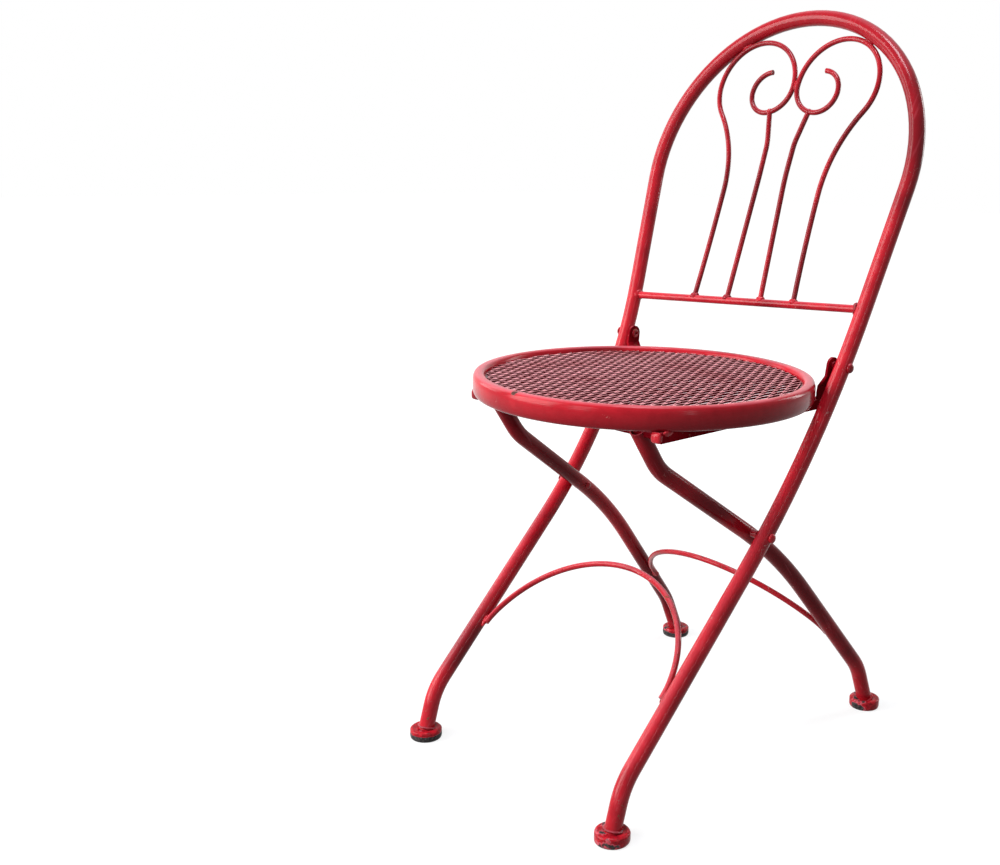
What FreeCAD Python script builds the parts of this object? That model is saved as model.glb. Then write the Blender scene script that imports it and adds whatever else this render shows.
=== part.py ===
import FreeCAD, Part
import math
import os

import Sketcher

# Folding metal bistro chair with a round mesh seat and a scrolled hoop back.
# Z is up and the floor is Z = 0. The sitter faces -Y, and the sitter's left is +X.
# Lengths are in millimetres and angles in degrees. Fore and aft distances in the sizes
# are measured from one upright line, which the centre of the seat lies on.

DOC = FreeCAD.newDocument("bistro_chair")
SHEET = DOC.addObject("Spreadsheet::Sheet", "Sizes")
V = FreeCAD.Vector

SIZES = [
    # bent tubes and rods
    ("tube_diameter", 19.0),
    ("tube_wall", 1.5),
    ("cross_rail_diameter", 9.5),
    ("scroll_rod_diameter", 6.5),
    ("arch_rod_diameter", 7.0),
    ("slide_rod_diameter", 8.0),
    # hoop of the back
    ("hoop_radius", 193.3),
    ("hoop_centre_height", 682.5),
    ("hoop_lean", 19.2),
    ("cross_rail_height", 519.5),
    ("cross_rail_tilt", 2.9),
    # knee where the back turns into the front legs
    ("knee_height", 364.0),
    ("knee_behind", 119.0),
    ("knee_half_width", 160.5),
    ("knee_bend_radius", 750.0),
    # front legs
    ("front_bend_height", 57.5),
    ("front_bend_ahead", 186.5),
    ("front_bend_radius", 75.0),
    ("front_foot_ahead", 200.5),
    ("front_foot_half_width", 158.0),
    # rear legs
    ("rear_top_half_width", 112.0),
    ("rear_shoulder_drop", 46.7),
    ("rear_shoulder_ahead", 95.0),
    ("rear_shoulder_radius", 67.0),
    ("rear_cross_half_width", 132.0),
    ("rear_elbow_past_cross", 66.0),
    ("rear_elbow_radius", 550.0),
    ("rear_bend_height", 62.5),
    ("rear_bend_behind", 243.0),
    ("rear_bend_radius", 96.0),
    ("rear_foot_behind", 267.0),
    ("rear_foot_half_width", 164.0),
    ("rear_top_cover", 4.0),
    # pivots
    ("hinge_rise", 13.0),
    ("cross_drop", 136.2),
    ("rivet_diameter", 6.0),
    ("rivet_head_diameter", 12.0),
    ("rivet_head_height", 3.6),
    ("hinge_spacer_diameter", 10.0),
    ("hinge_spacer_length", 2.4),
    ("cross_spacer_diameter", 9.0),
    ("pivot_clearance", 0.05),
    # seat
    ("seat_radius", 197.5),
    ("seat_height", 450.0),
    ("seat_back_gap", 6.0),
    ("rim_height", 26.0),
    ("rim_width", 15.0),
    ("rim_wall", 1.5),
    ("rim_corner", 5.0),
    ("mesh_depth", 5.0),
    ("mesh_thickness", 1.6),
    ("mesh_long_pitch", 37.0),
    ("mesh_short_pitch", 19.0),
    ("mesh_strand", 3.0),
    ("mesh_border", 6.0),
    # rails and brackets under the seat
    ("rail_offset", 142.0),
    ("rail_width", 13.0),
    ("rail_depth", 11.5),
    ("rail_wall", 2.0),
    ("rail_rear_short", 1.5),
    ("rail_stop_gap", 1.0),
    ("slide_rod_ahead", 127.0),
    ("bracket_thickness", 3.0),
    ("bracket_eye_radius", 10.0),
    ("bracket_foot_reach", 46.5),
    ("bracket_foot_past", 2.5),
    ("bracket_neck_reach", 16.0),
    ("bracket_jog_height", 12.0),
    # arched stretchers
    ("front_arch_height", 128.0),
    ("front_arch_rise", 133.0),
    ("front_arch_shoulder", 88.0),
    ("front_arch_tilt", -5.6),
    ("rear_arch_height", 116.0),
    ("rear_arch_rise", 113.0),
    ("rear_arch_shoulder", 68.0),
    ("rear_arch_tilt", 4.7),
    # scroll work in the plane of the hoop
    ("scroll_loop_radius", 58.0),
    ("scroll_turn_radius", 34.8),
    ("scroll_curl_radius", 26.6),
    ("scroll_curl_sweep", 175.0),
    ("scroll_stem_offset", 72.7),
    ("scroll_stem_drop", 138.0),
    ("scroll_foot_offset", 76.4),
    ("scroll_shift", 2.7),
    ("inner_rod_foot_offset", 25.6),
    ("inner_rod_foot_shift", 4.4),
    ("inner_rod_neck_offset", 20.6),
    ("inner_rod_neck_drop", 74.3),
    ("inner_rod_waist_offset", 19.9),
    ("inner_rod_waist_drop", 118.1),
    ("inner_rod_waist_radius", 350.0),
    ("inner_rod_top_offset", 29.7),
    ("inner_rod_radius", 65.0),
    # feet
    ("flange_diameter", 32.0),
    ("flange_thickness", 2.5),
    ("flange_floor", 6.5),
    ("cap_diameter", 39.0),
    ("cap_height", 12.5),
    ("cap_lip_past_tube", 4.5),
    ("cap_sole", 5.0),
    ("cap_corner", 1.5),
    # small gaps
    ("weld_gap", 0.1),
    ("seat_gap", 0.3),
]

for row, (name, value) in enumerate(SIZES, start=1):
    SHEET.set("A%d" % row, name)
    SHEET.set("B%d" % row, str(value))
    SHEET.setAlias("B%d" % row, name)
DOC.recompute()


def size(name):
    """Value of one driving dimension."""
    return float(getattr(SHEET, name))


def cell(text):
    """Turn the names of driving dimensions in an expression into references to the sheet."""
    for name, _ in sorted(SIZES, key=lambda item: -len(item[0])):
        text = text.replace("{%s}" % name, "Sizes." + name)
    return text


# Helpers for bent rods and tubes

def bend_reaches(points, radii):
    """How far each bend reaches along its runs, drawn in where two bends would meet."""
    reaches = [0.0]
    for before, corner, after, radius in zip(points, points[1:], points[2:], radii):
        turn = (corner - before).getAngle(after - corner)
        reaches.append(radius * math.tan(turn / 2.0))
    reaches.append(0.0)
    runs = [(end - start).Length for start, end in zip(points, points[1:])]
    crowding = [run / max(0.001, reaches[i] + reaches[i + 1]) for i, run in enumerate(runs)]
    return [reach * min(1.0, 0.98 * min(pair))
            for reach, pair in zip(reaches[1:-1], zip(crowding, crowding[1:]))]


def rounded_path(points, radii):
    """Straight runs between points, joined at each inner point by a tangent arc."""
    edges = []
    start = points[0]
    reaches = bend_reaches(points, radii)
    for before, corner, after, reach in zip(points, points[1:], points[2:], reaches):
        toward = (corner - before).normalize()
        away = (after - corner).normalize()
        half_turn = toward.getAngle(away) / 2.0
        radius = reach / math.tan(half_turn)
        first = corner - toward * reach
        last = corner + away * reach
        inward = (away - toward).normalize()
        middle = corner + inward * (radius / math.cos(half_turn) - radius)
        edges.append(Part.LineSegment(start, first).toShape())
        edges.append(Part.Arc(first, middle, last).toShape())
        start = last
    edges.append(Part.LineSegment(start, points[-1]).toShape())
    return Part.Wire(edges)


def swept_rod(path, radius):
    """Solid round rod along a path."""
    first = path.Edges[0]
    start = first.valueAt(first.FirstParameter)
    along = first.tangentAt(first.FirstParameter)
    ring = Part.Wire(Part.makeCircle(radius, start, along))
    return path.makePipeShell([ring], True, False)


def hollow_tube(path, radius, wall):
    """Round tube along a path, open at both ends."""
    return swept_rod(path, radius).cut(swept_rod(path, radius - wall))


def feature(label, shape, place=None):
    """Sub-part whose shape is built from the sheet's values in this file."""
    piece = DOC.addObject("Part::Feature", label)
    piece.Label = label
    piece.Shape = shape
    piece.Placement = place or FreeCAD.Placement()
    return piece


def point_at_height(path, height, side):
    """Point where a path crosses a height, on the side where X has the given sign."""
    level = Part.makePlane(2000, 2000, V(-1000, -1000, height))
    hits = [v.Point for v in path.section(level).Vertexes]
    return max(hits, key=lambda p: side * p.x)


# Helpers for sketched sub-parts

def origin_plane(body, role):
    """One of the body's own origin planes."""
    for item in body.Origin.OriginFeatures:
        if item.Role == role:
            return item
    raise ValueError(role)


def outline(body, role, corners, name):
    """Closed polygon sketch. Each corner is a pair of expressions tied to the sheet."""
    sketch = body.newObject("Sketcher::SketchObject", name)
    sketch.AttachmentSupport = (origin_plane(body, role), "")
    sketch.MapMode = "FlatFace"
    count = len(corners)
    for index in range(count):
        start = V(10.0 * index, index % 2, 0)
        end = V(10.0 * ((index + 1) % count), (index + 1) % 2, 0)
        sketch.addGeometry(Part.LineSegment(start, end), False)
    for index in range(count):
        sketch.addConstraint(Sketcher.Constraint("Coincident", index, 2, (index + 1) % count, 1))
    for index, (across, up) in enumerate(corners):
        for kind, text in (("DistanceX", across), ("DistanceY", up)):
            number = sketch.addConstraint(Sketcher.Constraint(kind, -1, 1, index, 1, 1.0))
            sketch.setExpression("Constraints[%d]" % number, cell(text))
    return sketch


def turned_body(label, corners, place):
    """Body of revolution: corners are (radius, distance along Z) expressions."""
    body = DOC.addObject("PartDesign::Body", label)
    body.Label = label
    profile = outline(body, "XZ_Plane", corners, label + "_profile")
    turn = body.newObject("PartDesign::Revolution", label + "_turn")
    turn.Profile = profile
    turn.ReferenceAxis = (profile, ["V_Axis"])
    turn.Angle = 360.0
    body.Tip = turn
    body.Placement = place
    return body


# Shape of the back frame: one tube, hoop above and front legs below

TUBE_R = size("tube_diameter") / 2.0
WALL = size("tube_wall")
LEAN = math.radians(size("hoop_lean"))
FLANGE_TOP = size("flange_floor") + size("flange_thickness")
UP = V(0, math.sin(LEAN), math.cos(LEAN))
KNEE = V(0, size("knee_behind"), size("knee_height"))
HOOP_DROP = (size("hoop_centre_height") - size("knee_height")) / math.cos(LEAN)
HOOP_CENTRE = KNEE + UP * HOOP_DROP
FOOT_LINE = FLANGE_TOP - TUBE_R


def mirrored(point, side):
    """Point on the given side of the chair."""
    return V(side * abs(point.x), point.y, point.z)


def foot_end(bend, foot, height):
    """Point where the run from the foot bend towards the foot reaches a height."""
    share = (bend.z - height) / (bend.z - foot.z)
    return bend + (foot - bend) * share


def front_leg_points(side):
    """Knee, foot bend and lower end of one front leg."""
    knee = V(size("knee_half_width"), size("knee_behind"), size("knee_height"))
    bend = V(size("front_foot_half_width"), -size("front_bend_ahead"), size("front_bend_height"))
    foot = V(size("front_foot_half_width"), -size("front_foot_ahead"), FLANGE_TOP)
    end = foot_end(bend, foot, FOOT_LINE)
    return [mirrored(p, side) for p in (knee, bend, end)]


def hoop_tangent_point(side):
    """Point where the straight side of the back runs into the round of the hoop."""
    radius = size("hoop_radius")
    across = size("knee_half_width")
    reach = math.hypot(across, HOOP_DROP)
    turn = math.atan2(-HOOP_DROP, across) + math.acos(radius / reach)
    return HOOP_CENTRE + V(side, 0, 0) * radius * math.cos(turn) + UP * radius * math.sin(turn)


def back_frame_path():
    """Centre line of the back frame tube, from the right front foot round to the left one."""
    knee_r, bend_r, end_r = front_leg_points(-1)
    knee_l, bend_l, end_l = front_leg_points(1)
    radii = [size("front_bend_radius"), size("knee_bend_radius")]
    rising = rounded_path([end_r, bend_r, knee_r, hoop_tangent_point(-1)], radii)
    top = HOOP_CENTRE + UP * size("hoop_radius")
    arch = Part.Arc(hoop_tangent_point(-1), top, hoop_tangent_point(1)).toShape()
    falling = rounded_path([hoop_tangent_point(1), knee_l, bend_l, end_l], radii[::-1])
    return Part.Wire(rising.Edges + [arch] + falling.Edges)


def tilt_allowance(radius, path, pivot):
    """How much nearer a leaning tube comes to a flat ring of the given radius."""
    step = 5.0
    above = point_at_height(path, pivot.z + step, 1)
    below = point_at_height(path, pivot.z - step, 1)
    lean = abs(above.x - below.x) / (above - below).Length
    return radius * lean + TUBE_R * (1.0 / math.sqrt(1.0 - lean ** 2) - 1.0) + size("weld_gap") / 2.0


BACK_PATH = back_frame_path()
HINGE = point_at_height(BACK_PATH, size("seat_height") + size("hinge_rise"), 1)
RAIL_END = point_at_height(BACK_PATH, size("cross_rail_height"), 1)

# The inner face of each side of the back at the hinge, and the bracket eye inside it.
HINGE_WALL = HINGE.x - TUBE_R - tilt_allowance(size("hinge_spacer_diameter") / 2.0, BACK_PATH, HINGE)
EYE_OUTER = HINGE_WALL - size("hinge_spacer_length") - size("seat_gap")
EYE_INNER = EYE_OUTER - size("bracket_thickness")

# The rim stands a fixed gap ahead of the back, level with its lower edge.
RIM_BASE = size("seat_height") - size("rim_height")
BACK_AT_RIM = point_at_height(BACK_PATH, RIM_BASE, 1)
RIM_REACH = size("seat_radius") + size("seat_back_gap") + TUBE_R
SEAT_Y = BACK_AT_RIM.y - math.sqrt(RIM_REACH ** 2 - BACK_AT_RIM.x ** 2)

# The slide rod runs just under the rim, and the crossing hangs a fixed drop below it.
SLIDE_Z = RIM_BASE - size("rail_wall") - size("slide_rod_diameter") / 2.0 - size("seat_gap")
CROSS = point_at_height(BACK_PATH, SLIDE_Z - size("cross_drop"), 1)
SLIDE_Y = SEAT_Y - size("slide_rod_ahead")
RAIL_FRONT = SLIDE_Y - (size("slide_rod_diameter") / 2.0 + size("rail_stop_gap") + size("rail_wall"))
RAIL_REAR = HINGE.y - size("rail_rear_short")

# The box round the whole chair is centred on the origin.
FRONT_MOST = min(-size("front_foot_ahead") - size("cap_diameter") / 2.0,
                 SEAT_Y - size("seat_radius"))
HOOP_TOP = HOOP_CENTRE + UP * size("hoop_radius")
REAR_MOST = max(HOOP_TOP.y + TUBE_R, size("rear_foot_behind") + size("cap_diameter") / 2.0)
SHIFT = V(0, -(FRONT_MOST + REAR_MOST) / 2.0, 0)


def at(x, y, z, rotation=None):
    """Placement of a sub-part, from distances measured as in the sheet."""
    return FreeCAD.Placement(V(x, y, z) + SHIFT, rotation or FreeCAD.Rotation())


def cut_at_floor_line(shape):
    """Trim a leg level with the top of its foot flange."""
    below = Part.makeBox(1200, 1200, 200, V(-600, -600, FLANGE_TOP - 200))
    return shape.cut(below)


def pivot_hole(point, length):
    """Cylinder along X for a rivet hole, centred on a point."""
    radius = size("rivet_diameter") / 2.0 + size("pivot_clearance")
    return Part.makeCylinder(radius, length, V(point.x - length / 2.0, point.y, point.z), V(1, 0, 0))


def make_back_hoop_tube():
    """Bent tube with rivet holes for the seat hinge and the leg crossing on each side."""
    tube = cut_at_floor_line(hollow_tube(BACK_PATH, TUBE_R, WALL))
    for side in (-1, 1):
        for pivot in (HINGE, CROSS):
            tube = tube.cut(pivot_hole(mirrored(pivot, side), 4 * TUBE_R))
    return feature("back_hoop_tube", tube, at(0, 0, 0))


def round_bar(name, radius, middle, along, length):
    """Cylinder centred on a point and laid along a direction, with its radius tied to the sheet."""
    bar = DOC.addObject("Part::Cylinder", name)
    bar.setExpression("Radius", cell(radius))
    bar.Height = length
    start = middle - along * (length / 2.0)
    bar.Placement = FreeCAD.Placement(start, FreeCAD.Rotation(V(0, 0, 1), along))
    return bar


def rail_height_at(across):
    """Distance of the cross rail's axis above the hoop centre, in the hoop's plane."""
    middle = -(HOOP_CENTRE.z - RAIL_END.z) / math.cos(LEAN)
    return middle + across * math.tan(math.radians(size("cross_rail_tilt")))


def make_back_cross_rail():
    """Round rod between the two sides of the back, with its ends coped to the tube."""
    tilt = math.radians(size("cross_rail_tilt"))
    lie = V(math.cos(tilt), 0, 0) + UP * math.sin(tilt)
    blank = round_bar("cross_rail_blank", "{cross_rail_diameter} / 2", V(0, 0, 0), lie,
                      2 * RAIL_END.x)
    copes = []
    for side in (-1, 1):
        height = RAIL_END.z + side * RAIL_END.x * lie.z
        end = point_at_height(BACK_PATH, height, side)
        above = point_at_height(BACK_PATH, height + 5.0, side)
        copes.append(round_bar("cross_rail_cope", "{tube_diameter} / 2 + {weld_gap}",
                               end - V(0, RAIL_END.y, RAIL_END.z), (above - end).normalize(),
                               6 * TUBE_R))
    both = DOC.addObject("Part::MultiFuse", "cross_rail_copes")
    both.Shapes = copes
    rail = DOC.addObject("Part::Cut", "back_cross_rail")
    rail.Label = "back_cross_rail"
    rail.Base = blank
    rail.Tool = both
    rail.Placement = at(0, RAIL_END.y, RAIL_END.z)
    return rail


# Scroll work: drawn flat in X and Y, then stood up in the plane of the hoop

def in_hoop_plane():
    """Placement that carries the flat scroll drawing, centred on the hoop, into its plane."""
    turn = FreeCAD.Rotation(V(1, 0, 0), 90.0 - size("hoop_lean"))
    return FreeCAD.Placement(HOOP_CENTRE + SHIFT, turn)


def rod_foot_height(across, slope):
    """Lowest point of a rod's axis that stands on the rail, for a rod leaning by a slope."""
    lean = abs(slope) + math.tan(math.radians(size("cross_rail_tilt")))
    clear = size("cross_rail_diameter") / 2.0 + size("weld_gap")
    return rail_height_at(across) + clear + lean * size("scroll_rod_diameter") / 2.0


def scroll_path(side):
    """Outer scroll, from its cut end inside the curl, round the loop and down to the rail."""
    rod = size("scroll_rod_diameter") / 2.0
    loop = size("scroll_loop_radius")
    turn = size("scroll_turn_radius")
    curl = size("scroll_curl_radius")
    inner = rod + size("weld_gap") / 2.0
    room = size("hoop_radius") - TUBE_R - loop - rod - size("weld_gap")
    loop_x = inner + loop
    loop_y = math.sqrt(room ** 2 - loop_x ** 2)
    turn_x = inner + turn
    bottom = V(turn_x, loop_y - turn)
    curl_y = bottom.y + curl
    sweep = math.radians(size("scroll_curl_sweep"))

    def polar(cx, cy, radius, angle):
        return V(cx + radius * math.cos(angle), cy + radius * math.sin(angle))

    def arc(cx, cy, radius, start, end):
        ends = [polar(cx, cy, radius, a) for a in (start, (start + end) / 2.0, end)]
        return Part.Arc(*[V(side * p.x, p.y) for p in ends]).toShape()

    down = -math.pi / 2.0
    shift = side * size("scroll_shift")
    foot_x = size("scroll_foot_offset") + shift
    stem_x = size("scroll_stem_offset") + 0.75 * shift
    stem_y = loop_y - size("scroll_stem_drop")
    drop = loop_y - stem_y
    across = stem_x - loop_x
    bow = (drop ** 2 + across ** 2 - loop ** 2) / (2.0 * (loop - across))
    bow_x = stem_x + bow
    lean = math.atan2(stem_y - loop_y, bow_x - loop_x)
    splay = foot_x - stem_x
    foot_y = rod_foot_height(side * foot_x, 2.0 * splay / (stem_y - rail_height_at(0)))
    rise = stem_y - foot_y
    sweep_r = (rise ** 2 + splay ** 2) / (2.0 * splay)
    edges = [
        arc(turn_x, curl_y, curl, down + sweep, down),
        arc(turn_x, loop_y, turn, down, -math.pi),
        arc(loop_x, loop_y, loop, math.pi, lean),
        arc(bow_x, stem_y, bow, lean + math.pi, math.pi),
        arc(stem_x + sweep_r, stem_y, sweep_r, math.pi, math.pi + math.asin(rise / sweep_r)),
    ]
    return Part.Wire(edges), turn_x, loop_y


def make_scroll(label, side):
    """Outer scroll rod of one side."""
    path = scroll_path(side)[0]
    rod = swept_rod(path, size("scroll_rod_diameter") / 2.0)
    return feature(label, rod, in_hoop_plane())


def make_inner_rod(label, side):
    """Rod from the cross rail up to the curl, bent twice and coped to the curl."""
    scroll, turn_x, loop_y = scroll_path(side)
    turn = size("scroll_turn_radius")
    rod = size("scroll_rod_diameter") / 2.0
    top_x = size("inner_rod_top_offset")
    top_y = loop_y - math.sqrt(turn ** 2 - (turn_x - top_x) ** 2)
    waist = V(side * size("inner_rod_waist_offset"), loop_y - size("inner_rod_waist_drop"))
    foot_x = side * size("inner_rod_foot_offset") + size("inner_rod_foot_shift")
    slope = (foot_x - waist.x) / (waist.y - rail_height_at(0))
    points = [
        V(foot_x, rod_foot_height(foot_x, slope)),
        waist,
        V(side * size("inner_rod_neck_offset"), loop_y - size("inner_rod_neck_drop")),
        V(side * top_x, top_y),
    ]
    path = rounded_path(points, [size("inner_rod_waist_radius"), size("inner_rod_radius")])
    pieces = swept_rod(path, rod).cut(swept_rod(scroll, rod + size("weld_gap"))).Solids
    return feature(label, max(pieces, key=lambda piece: piece.Volume), in_hoop_plane())


# Arched stretchers: each lies in the plane of its pair of legs

def arch_path(half_width, rise, shoulder):
    """Arch drawn flat: steep ends, round shoulders and a flatter crown."""
    inset = half_width - shoulder
    crown = (rise ** 2 + inset ** 2 - shoulder ** 2) / (2.0 * (rise - shoulder))
    lift = math.atan2(crown - rise, inset)

    def on(cx, cy, radius, angle):
        return V(cx + radius * math.cos(angle), cy + radius * math.sin(angle))

    edges = []
    for side in (1, -1):
        points = [on(inset, 0, shoulder, a) for a in (0, lift / 2.0, lift)]
        edges.append(Part.Arc(*[V(side * p.x, p.y) for p in points]).toShape())
    ends = [on(0, rise - crown, crown, a) for a in (lift, math.pi / 2.0, math.pi - lift)]
    return Part.Wire([edges[0], Part.Arc(*ends).toShape(), edges[1]])


def make_arch(label, upper, lower, height, rise, shoulder, tilt):
    """Arched rod between two legs, welded to their inner faces at a height, and tilted off them."""
    run = upper - lower
    share = (height - lower.z) / run.z
    end = lower + run * share
    slant = math.degrees(math.atan2(run.z, run.y)) + tilt
    slope = run.x / math.hypot(run.y, run.z)
    reach = TUBE_R + size("arch_rod_diameter") / 2.0
    half_width = abs(end.x) - reach * math.hypot(1.0, slope) - size("weld_gap")
    half_width -= slope ** 2 * shoulder / 2.0
    path = arch_path(half_width, rise, shoulder)
    rod = swept_rod(path, size("arch_rod_diameter") / 2.0)
    place = at(0, end.y, end.z, FreeCAD.Rotation(V(1, 0, 0), slant))
    return feature(label, rod, place)


# Rear legs

def rear_leg_points(side):
    """Corner points of one rear leg, from its top at the slide rod down to the foot."""
    shoulder = V(size("rear_top_half_width"), SEAT_Y - size("rear_shoulder_ahead"),
                 SLIDE_Z - size("rear_shoulder_drop"))
    top = V(size("rear_top_half_width"), SLIDE_Y, SLIDE_Z)
    cross = V(size("rear_cross_half_width"), CROSS.y, CROSS.z)
    run = (cross - shoulder).normalize()
    elbow = cross + run * size("rear_elbow_past_cross")
    bend = V(size("rear_foot_half_width"), size("rear_bend_behind"), size("rear_bend_height"))
    foot = V(size("rear_foot_half_width"), size("rear_foot_behind"), FLANGE_TOP)
    end = foot_end(bend, foot, FOOT_LINE)
    rise = (top - shoulder).normalize()
    tip = top + rise * size("rear_top_cover")
    return [mirrored(p, side) for p in (tip, shoulder, elbow, bend, end)]


def make_rear_leg(label, side):
    """Bent tube with a hole for the crossing rivet and one for the slide rod."""
    radii = [size("rear_shoulder_radius"), size("rear_elbow_radius"), size("rear_bend_radius")]
    path = rounded_path(rear_leg_points(side), radii)
    tube = cut_at_floor_line(hollow_tube(path, TUBE_R, WALL))
    cross = V(side * size("rear_cross_half_width"), CROSS.y, CROSS.z)
    tube = tube.cut(pivot_hole(cross, 4 * TUBE_R))
    radius = size("slide_rod_diameter") / 2.0 + size("pivot_clearance")
    start = V(-size("seat_radius"), SLIDE_Y, SLIDE_Z)
    tube = tube.cut(Part.makeCylinder(radius, 2 * size("seat_radius"), start, V(1, 0, 0)))
    return feature(label, tube, at(0, 0, 0))


def make_slide_rod():
    """Rod through both leg tops. Its ends run in the seat rails."""
    rod = DOC.addObject("Part::Cylinder", "slide_rod")
    rod.Label = "slide_rod"
    inner_face = "({rail_offset} + {rail_width} / 2 - {rail_wall} - {seat_gap})"
    rod.setExpression("Radius", cell("{slide_rod_diameter} / 2"))
    rod.setExpression("Height", cell("2 * " + inner_face))
    half = size("rail_offset") + size("rail_width") / 2.0 - size("rail_wall") - size("seat_gap")
    rod.Placement = at(-half, SLIDE_Y, SLIDE_Z, FreeCAD.Rotation(V(0, 1, 0), 90))
    return rod


# Rivets and spacers, turned round their own axis and laid along X

def along_x(side):
    """Rotation that lays the Z axis along X, pointing out of the given side."""
    return FreeCAD.Rotation(V(0, 1, 0), 90.0 * side)


def make_rivet(label, side, pivot, inner_end, outer_seat):
    """Rivet with a domed outer head and a flared inner end, from inner_end to outer_seat."""
    shaft = "{rivet_diameter} / 2"
    head = "{rivet_head_diameter} / 2"
    length = "%.6f" % (outer_seat - inner_end)
    corners = [
        ("0", "-{rivet_head_height} * 0.6"),
        (shaft, "-{rivet_head_height} * 0.6"),
        (head + " * 0.85", "-{rivet_head_height} * 0.3"),
        (head + " * 0.85", "0"),
        (shaft, "0"),
        (shaft, length),
        (head, length),
        (head, length + " + {rivet_head_height} * 0.35"),
        (head + " * 0.75", length + " + {rivet_head_height} * 0.8"),
        (head + " * 0.3", length + " + {rivet_head_height}"),
        ("0", length + " + {rivet_head_height}"),
    ]
    place = at(side * inner_end, pivot.y, pivot.z, along_x(side))
    return turned_body(label, corners, place)


def make_spacer(label, side, pivot, inner, outer, diameter):
    """Short sleeve on a rivet between two members."""
    bore = "{rivet_diameter} / 2 + {pivot_clearance}"
    length = "%.6f" % (outer - inner)
    wall = "{%s} / 2" % diameter
    corners = [(bore, "0"), (wall, "0"), (wall, length), (bore, length)]
    return turned_body(label, corners, at(side * inner, pivot.y, pivot.z, along_x(side)))


def make_pivots():
    """Rivets and spacers of the seat hinge and of the leg crossing, on both sides."""
    head = size("rivet_head_diameter") / 2.0
    hinge_out = HINGE.x + TUBE_R + tilt_allowance(head, BACK_PATH, HINGE)
    hinge_in = EYE_INNER - size("seat_gap")
    rear_path = rounded_path(rear_leg_points(1), [size("rear_shoulder_radius"),
                                                  size("rear_elbow_radius"),
                                                  size("rear_bend_radius")])
    rear_cross = V(size("rear_cross_half_width"), CROSS.y, CROSS.z)
    cross_out = CROSS.x + TUBE_R + tilt_allowance(head, BACK_PATH, CROSS)
    cross_in = rear_cross.x - TUBE_R - tilt_allowance(0.85 * head, rear_path, rear_cross) - size("seat_gap")
    sleeve_r = size("cross_spacer_diameter") / 2.0
    sleeve_in = rear_cross.x + TUBE_R + tilt_allowance(sleeve_r, rear_path, rear_cross) + size("seat_gap")
    sleeve_out = CROSS.x - TUBE_R - tilt_allowance(sleeve_r, BACK_PATH, CROSS)
    made = []
    for word, side in (("left", 1), ("right", -1)):
        made.append(make_rivet("hinge_rivet_" + word, side, HINGE, hinge_in, hinge_out))
        made.append(make_spacer("hinge_spacer_" + word, side, HINGE,
                                EYE_OUTER + size("seat_gap"), HINGE_WALL, "hinge_spacer_diameter"))
        made.append(make_rivet("cross_rivet_" + word, side, CROSS, cross_in, cross_out))
        made.append(make_spacer("cross_spacer_" + word, side, CROSS,
                                sleeve_in, sleeve_out, "cross_spacer_diameter"))
    return made


# Feet

def make_foot(prefix, side, word, half_width, along):
    """Flange under a leg end and the cap snapped over it."""
    edge = "{flange_diameter} / 2"
    top = "{flange_floor} + {flange_thickness}"
    flange = [("0", "{flange_floor}"), (edge, "{flange_floor}"), (edge, top), ("0", top)]
    cap_r = "{cap_diameter} / 2"
    room = edge + " + {seat_gap}"
    cap = [
        ("0", "0"),
        (cap_r + " - {cap_corner}", "0"),
        (cap_r, "{cap_corner}"),
        (cap_r, "{cap_height} - {cap_corner}"),
        (cap_r + " - {cap_corner}", "{cap_height}"),
        ("{tube_diameter} / 2 + {cap_lip_past_tube}", "{cap_height}"),
        ("{tube_diameter} / 2 + {cap_lip_past_tube}", top + " + {seat_gap}"),
        (room, top + " + {seat_gap}"),
        (room, "{flange_floor}"),
        ("0", "{flange_floor}"),
    ]
    place = at(side * half_width, along, 0)
    return [
        turned_body("%s_foot_flange_%s" % (prefix, word), flange, place),
        turned_body("%s_foot_cap_%s" % (prefix, word), cap, place),
    ]


def make_feet():
    """Four feet. Each flange is centred under the end of its leg."""
    made = []
    for word, side in (("left", 1), ("right", -1)):
        made += make_foot("front", side, word, size("front_foot_half_width"), -size("front_foot_ahead"))
        made += make_foot("rear", side, word, size("rear_foot_half_width"), size("rear_foot_behind"))
    return made


# Seat

def make_seat_ring():
    """Rolled hollow rim, made by turning the rounded outer section and cutting its inside."""
    def section(inset):
        return [
            ("{seat_radius} - {rim_width} + %s" % inset, "%s" % inset),
            ("{seat_radius} - %s" % inset, "%s" % inset),
            ("{seat_radius} - %s" % inset, "{rim_height} - %s" % inset),
            ("{seat_radius} - {rim_width} + %s" % inset, "{rim_height} - %s" % inset),
        ]

    body = DOC.addObject("PartDesign::Body", "seat_ring")
    body.Label = "seat_ring"
    outer = outline(body, "XZ_Plane", section("0"), "rim_section")
    turn = body.newObject("PartDesign::Revolution", "rim_turn")
    turn.Profile = outer
    turn.ReferenceAxis = (outer, ["V_Axis"])
    turn.Angle = 360.0
    body.Tip = turn
    DOC.recompute()
    rounding = body.newObject("PartDesign::Fillet", "rim_rounding")
    rounding.Base = (turn, ["Edge%d" % (i + 1) for i, e in enumerate(turn.Shape.Edges)
                            if isinstance(e.Curve, Part.Circle)])
    rounding.setExpression("Radius", cell("{rim_corner}"))
    body.Tip = rounding
    DOC.recompute()
    inner = outline(body, "XZ_Plane", section("{rim_wall}"), "rim_hollow_section")
    hollow = body.newObject("PartDesign::Groove", "rim_hollow")
    hollow.Profile = inner
    hollow.ReferenceAxis = (inner, ["V_Axis"])
    hollow.Angle = 360.0
    body.Tip = hollow
    body.Placement = at(0, SEAT_Y, RIM_BASE)
    return body


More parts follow.
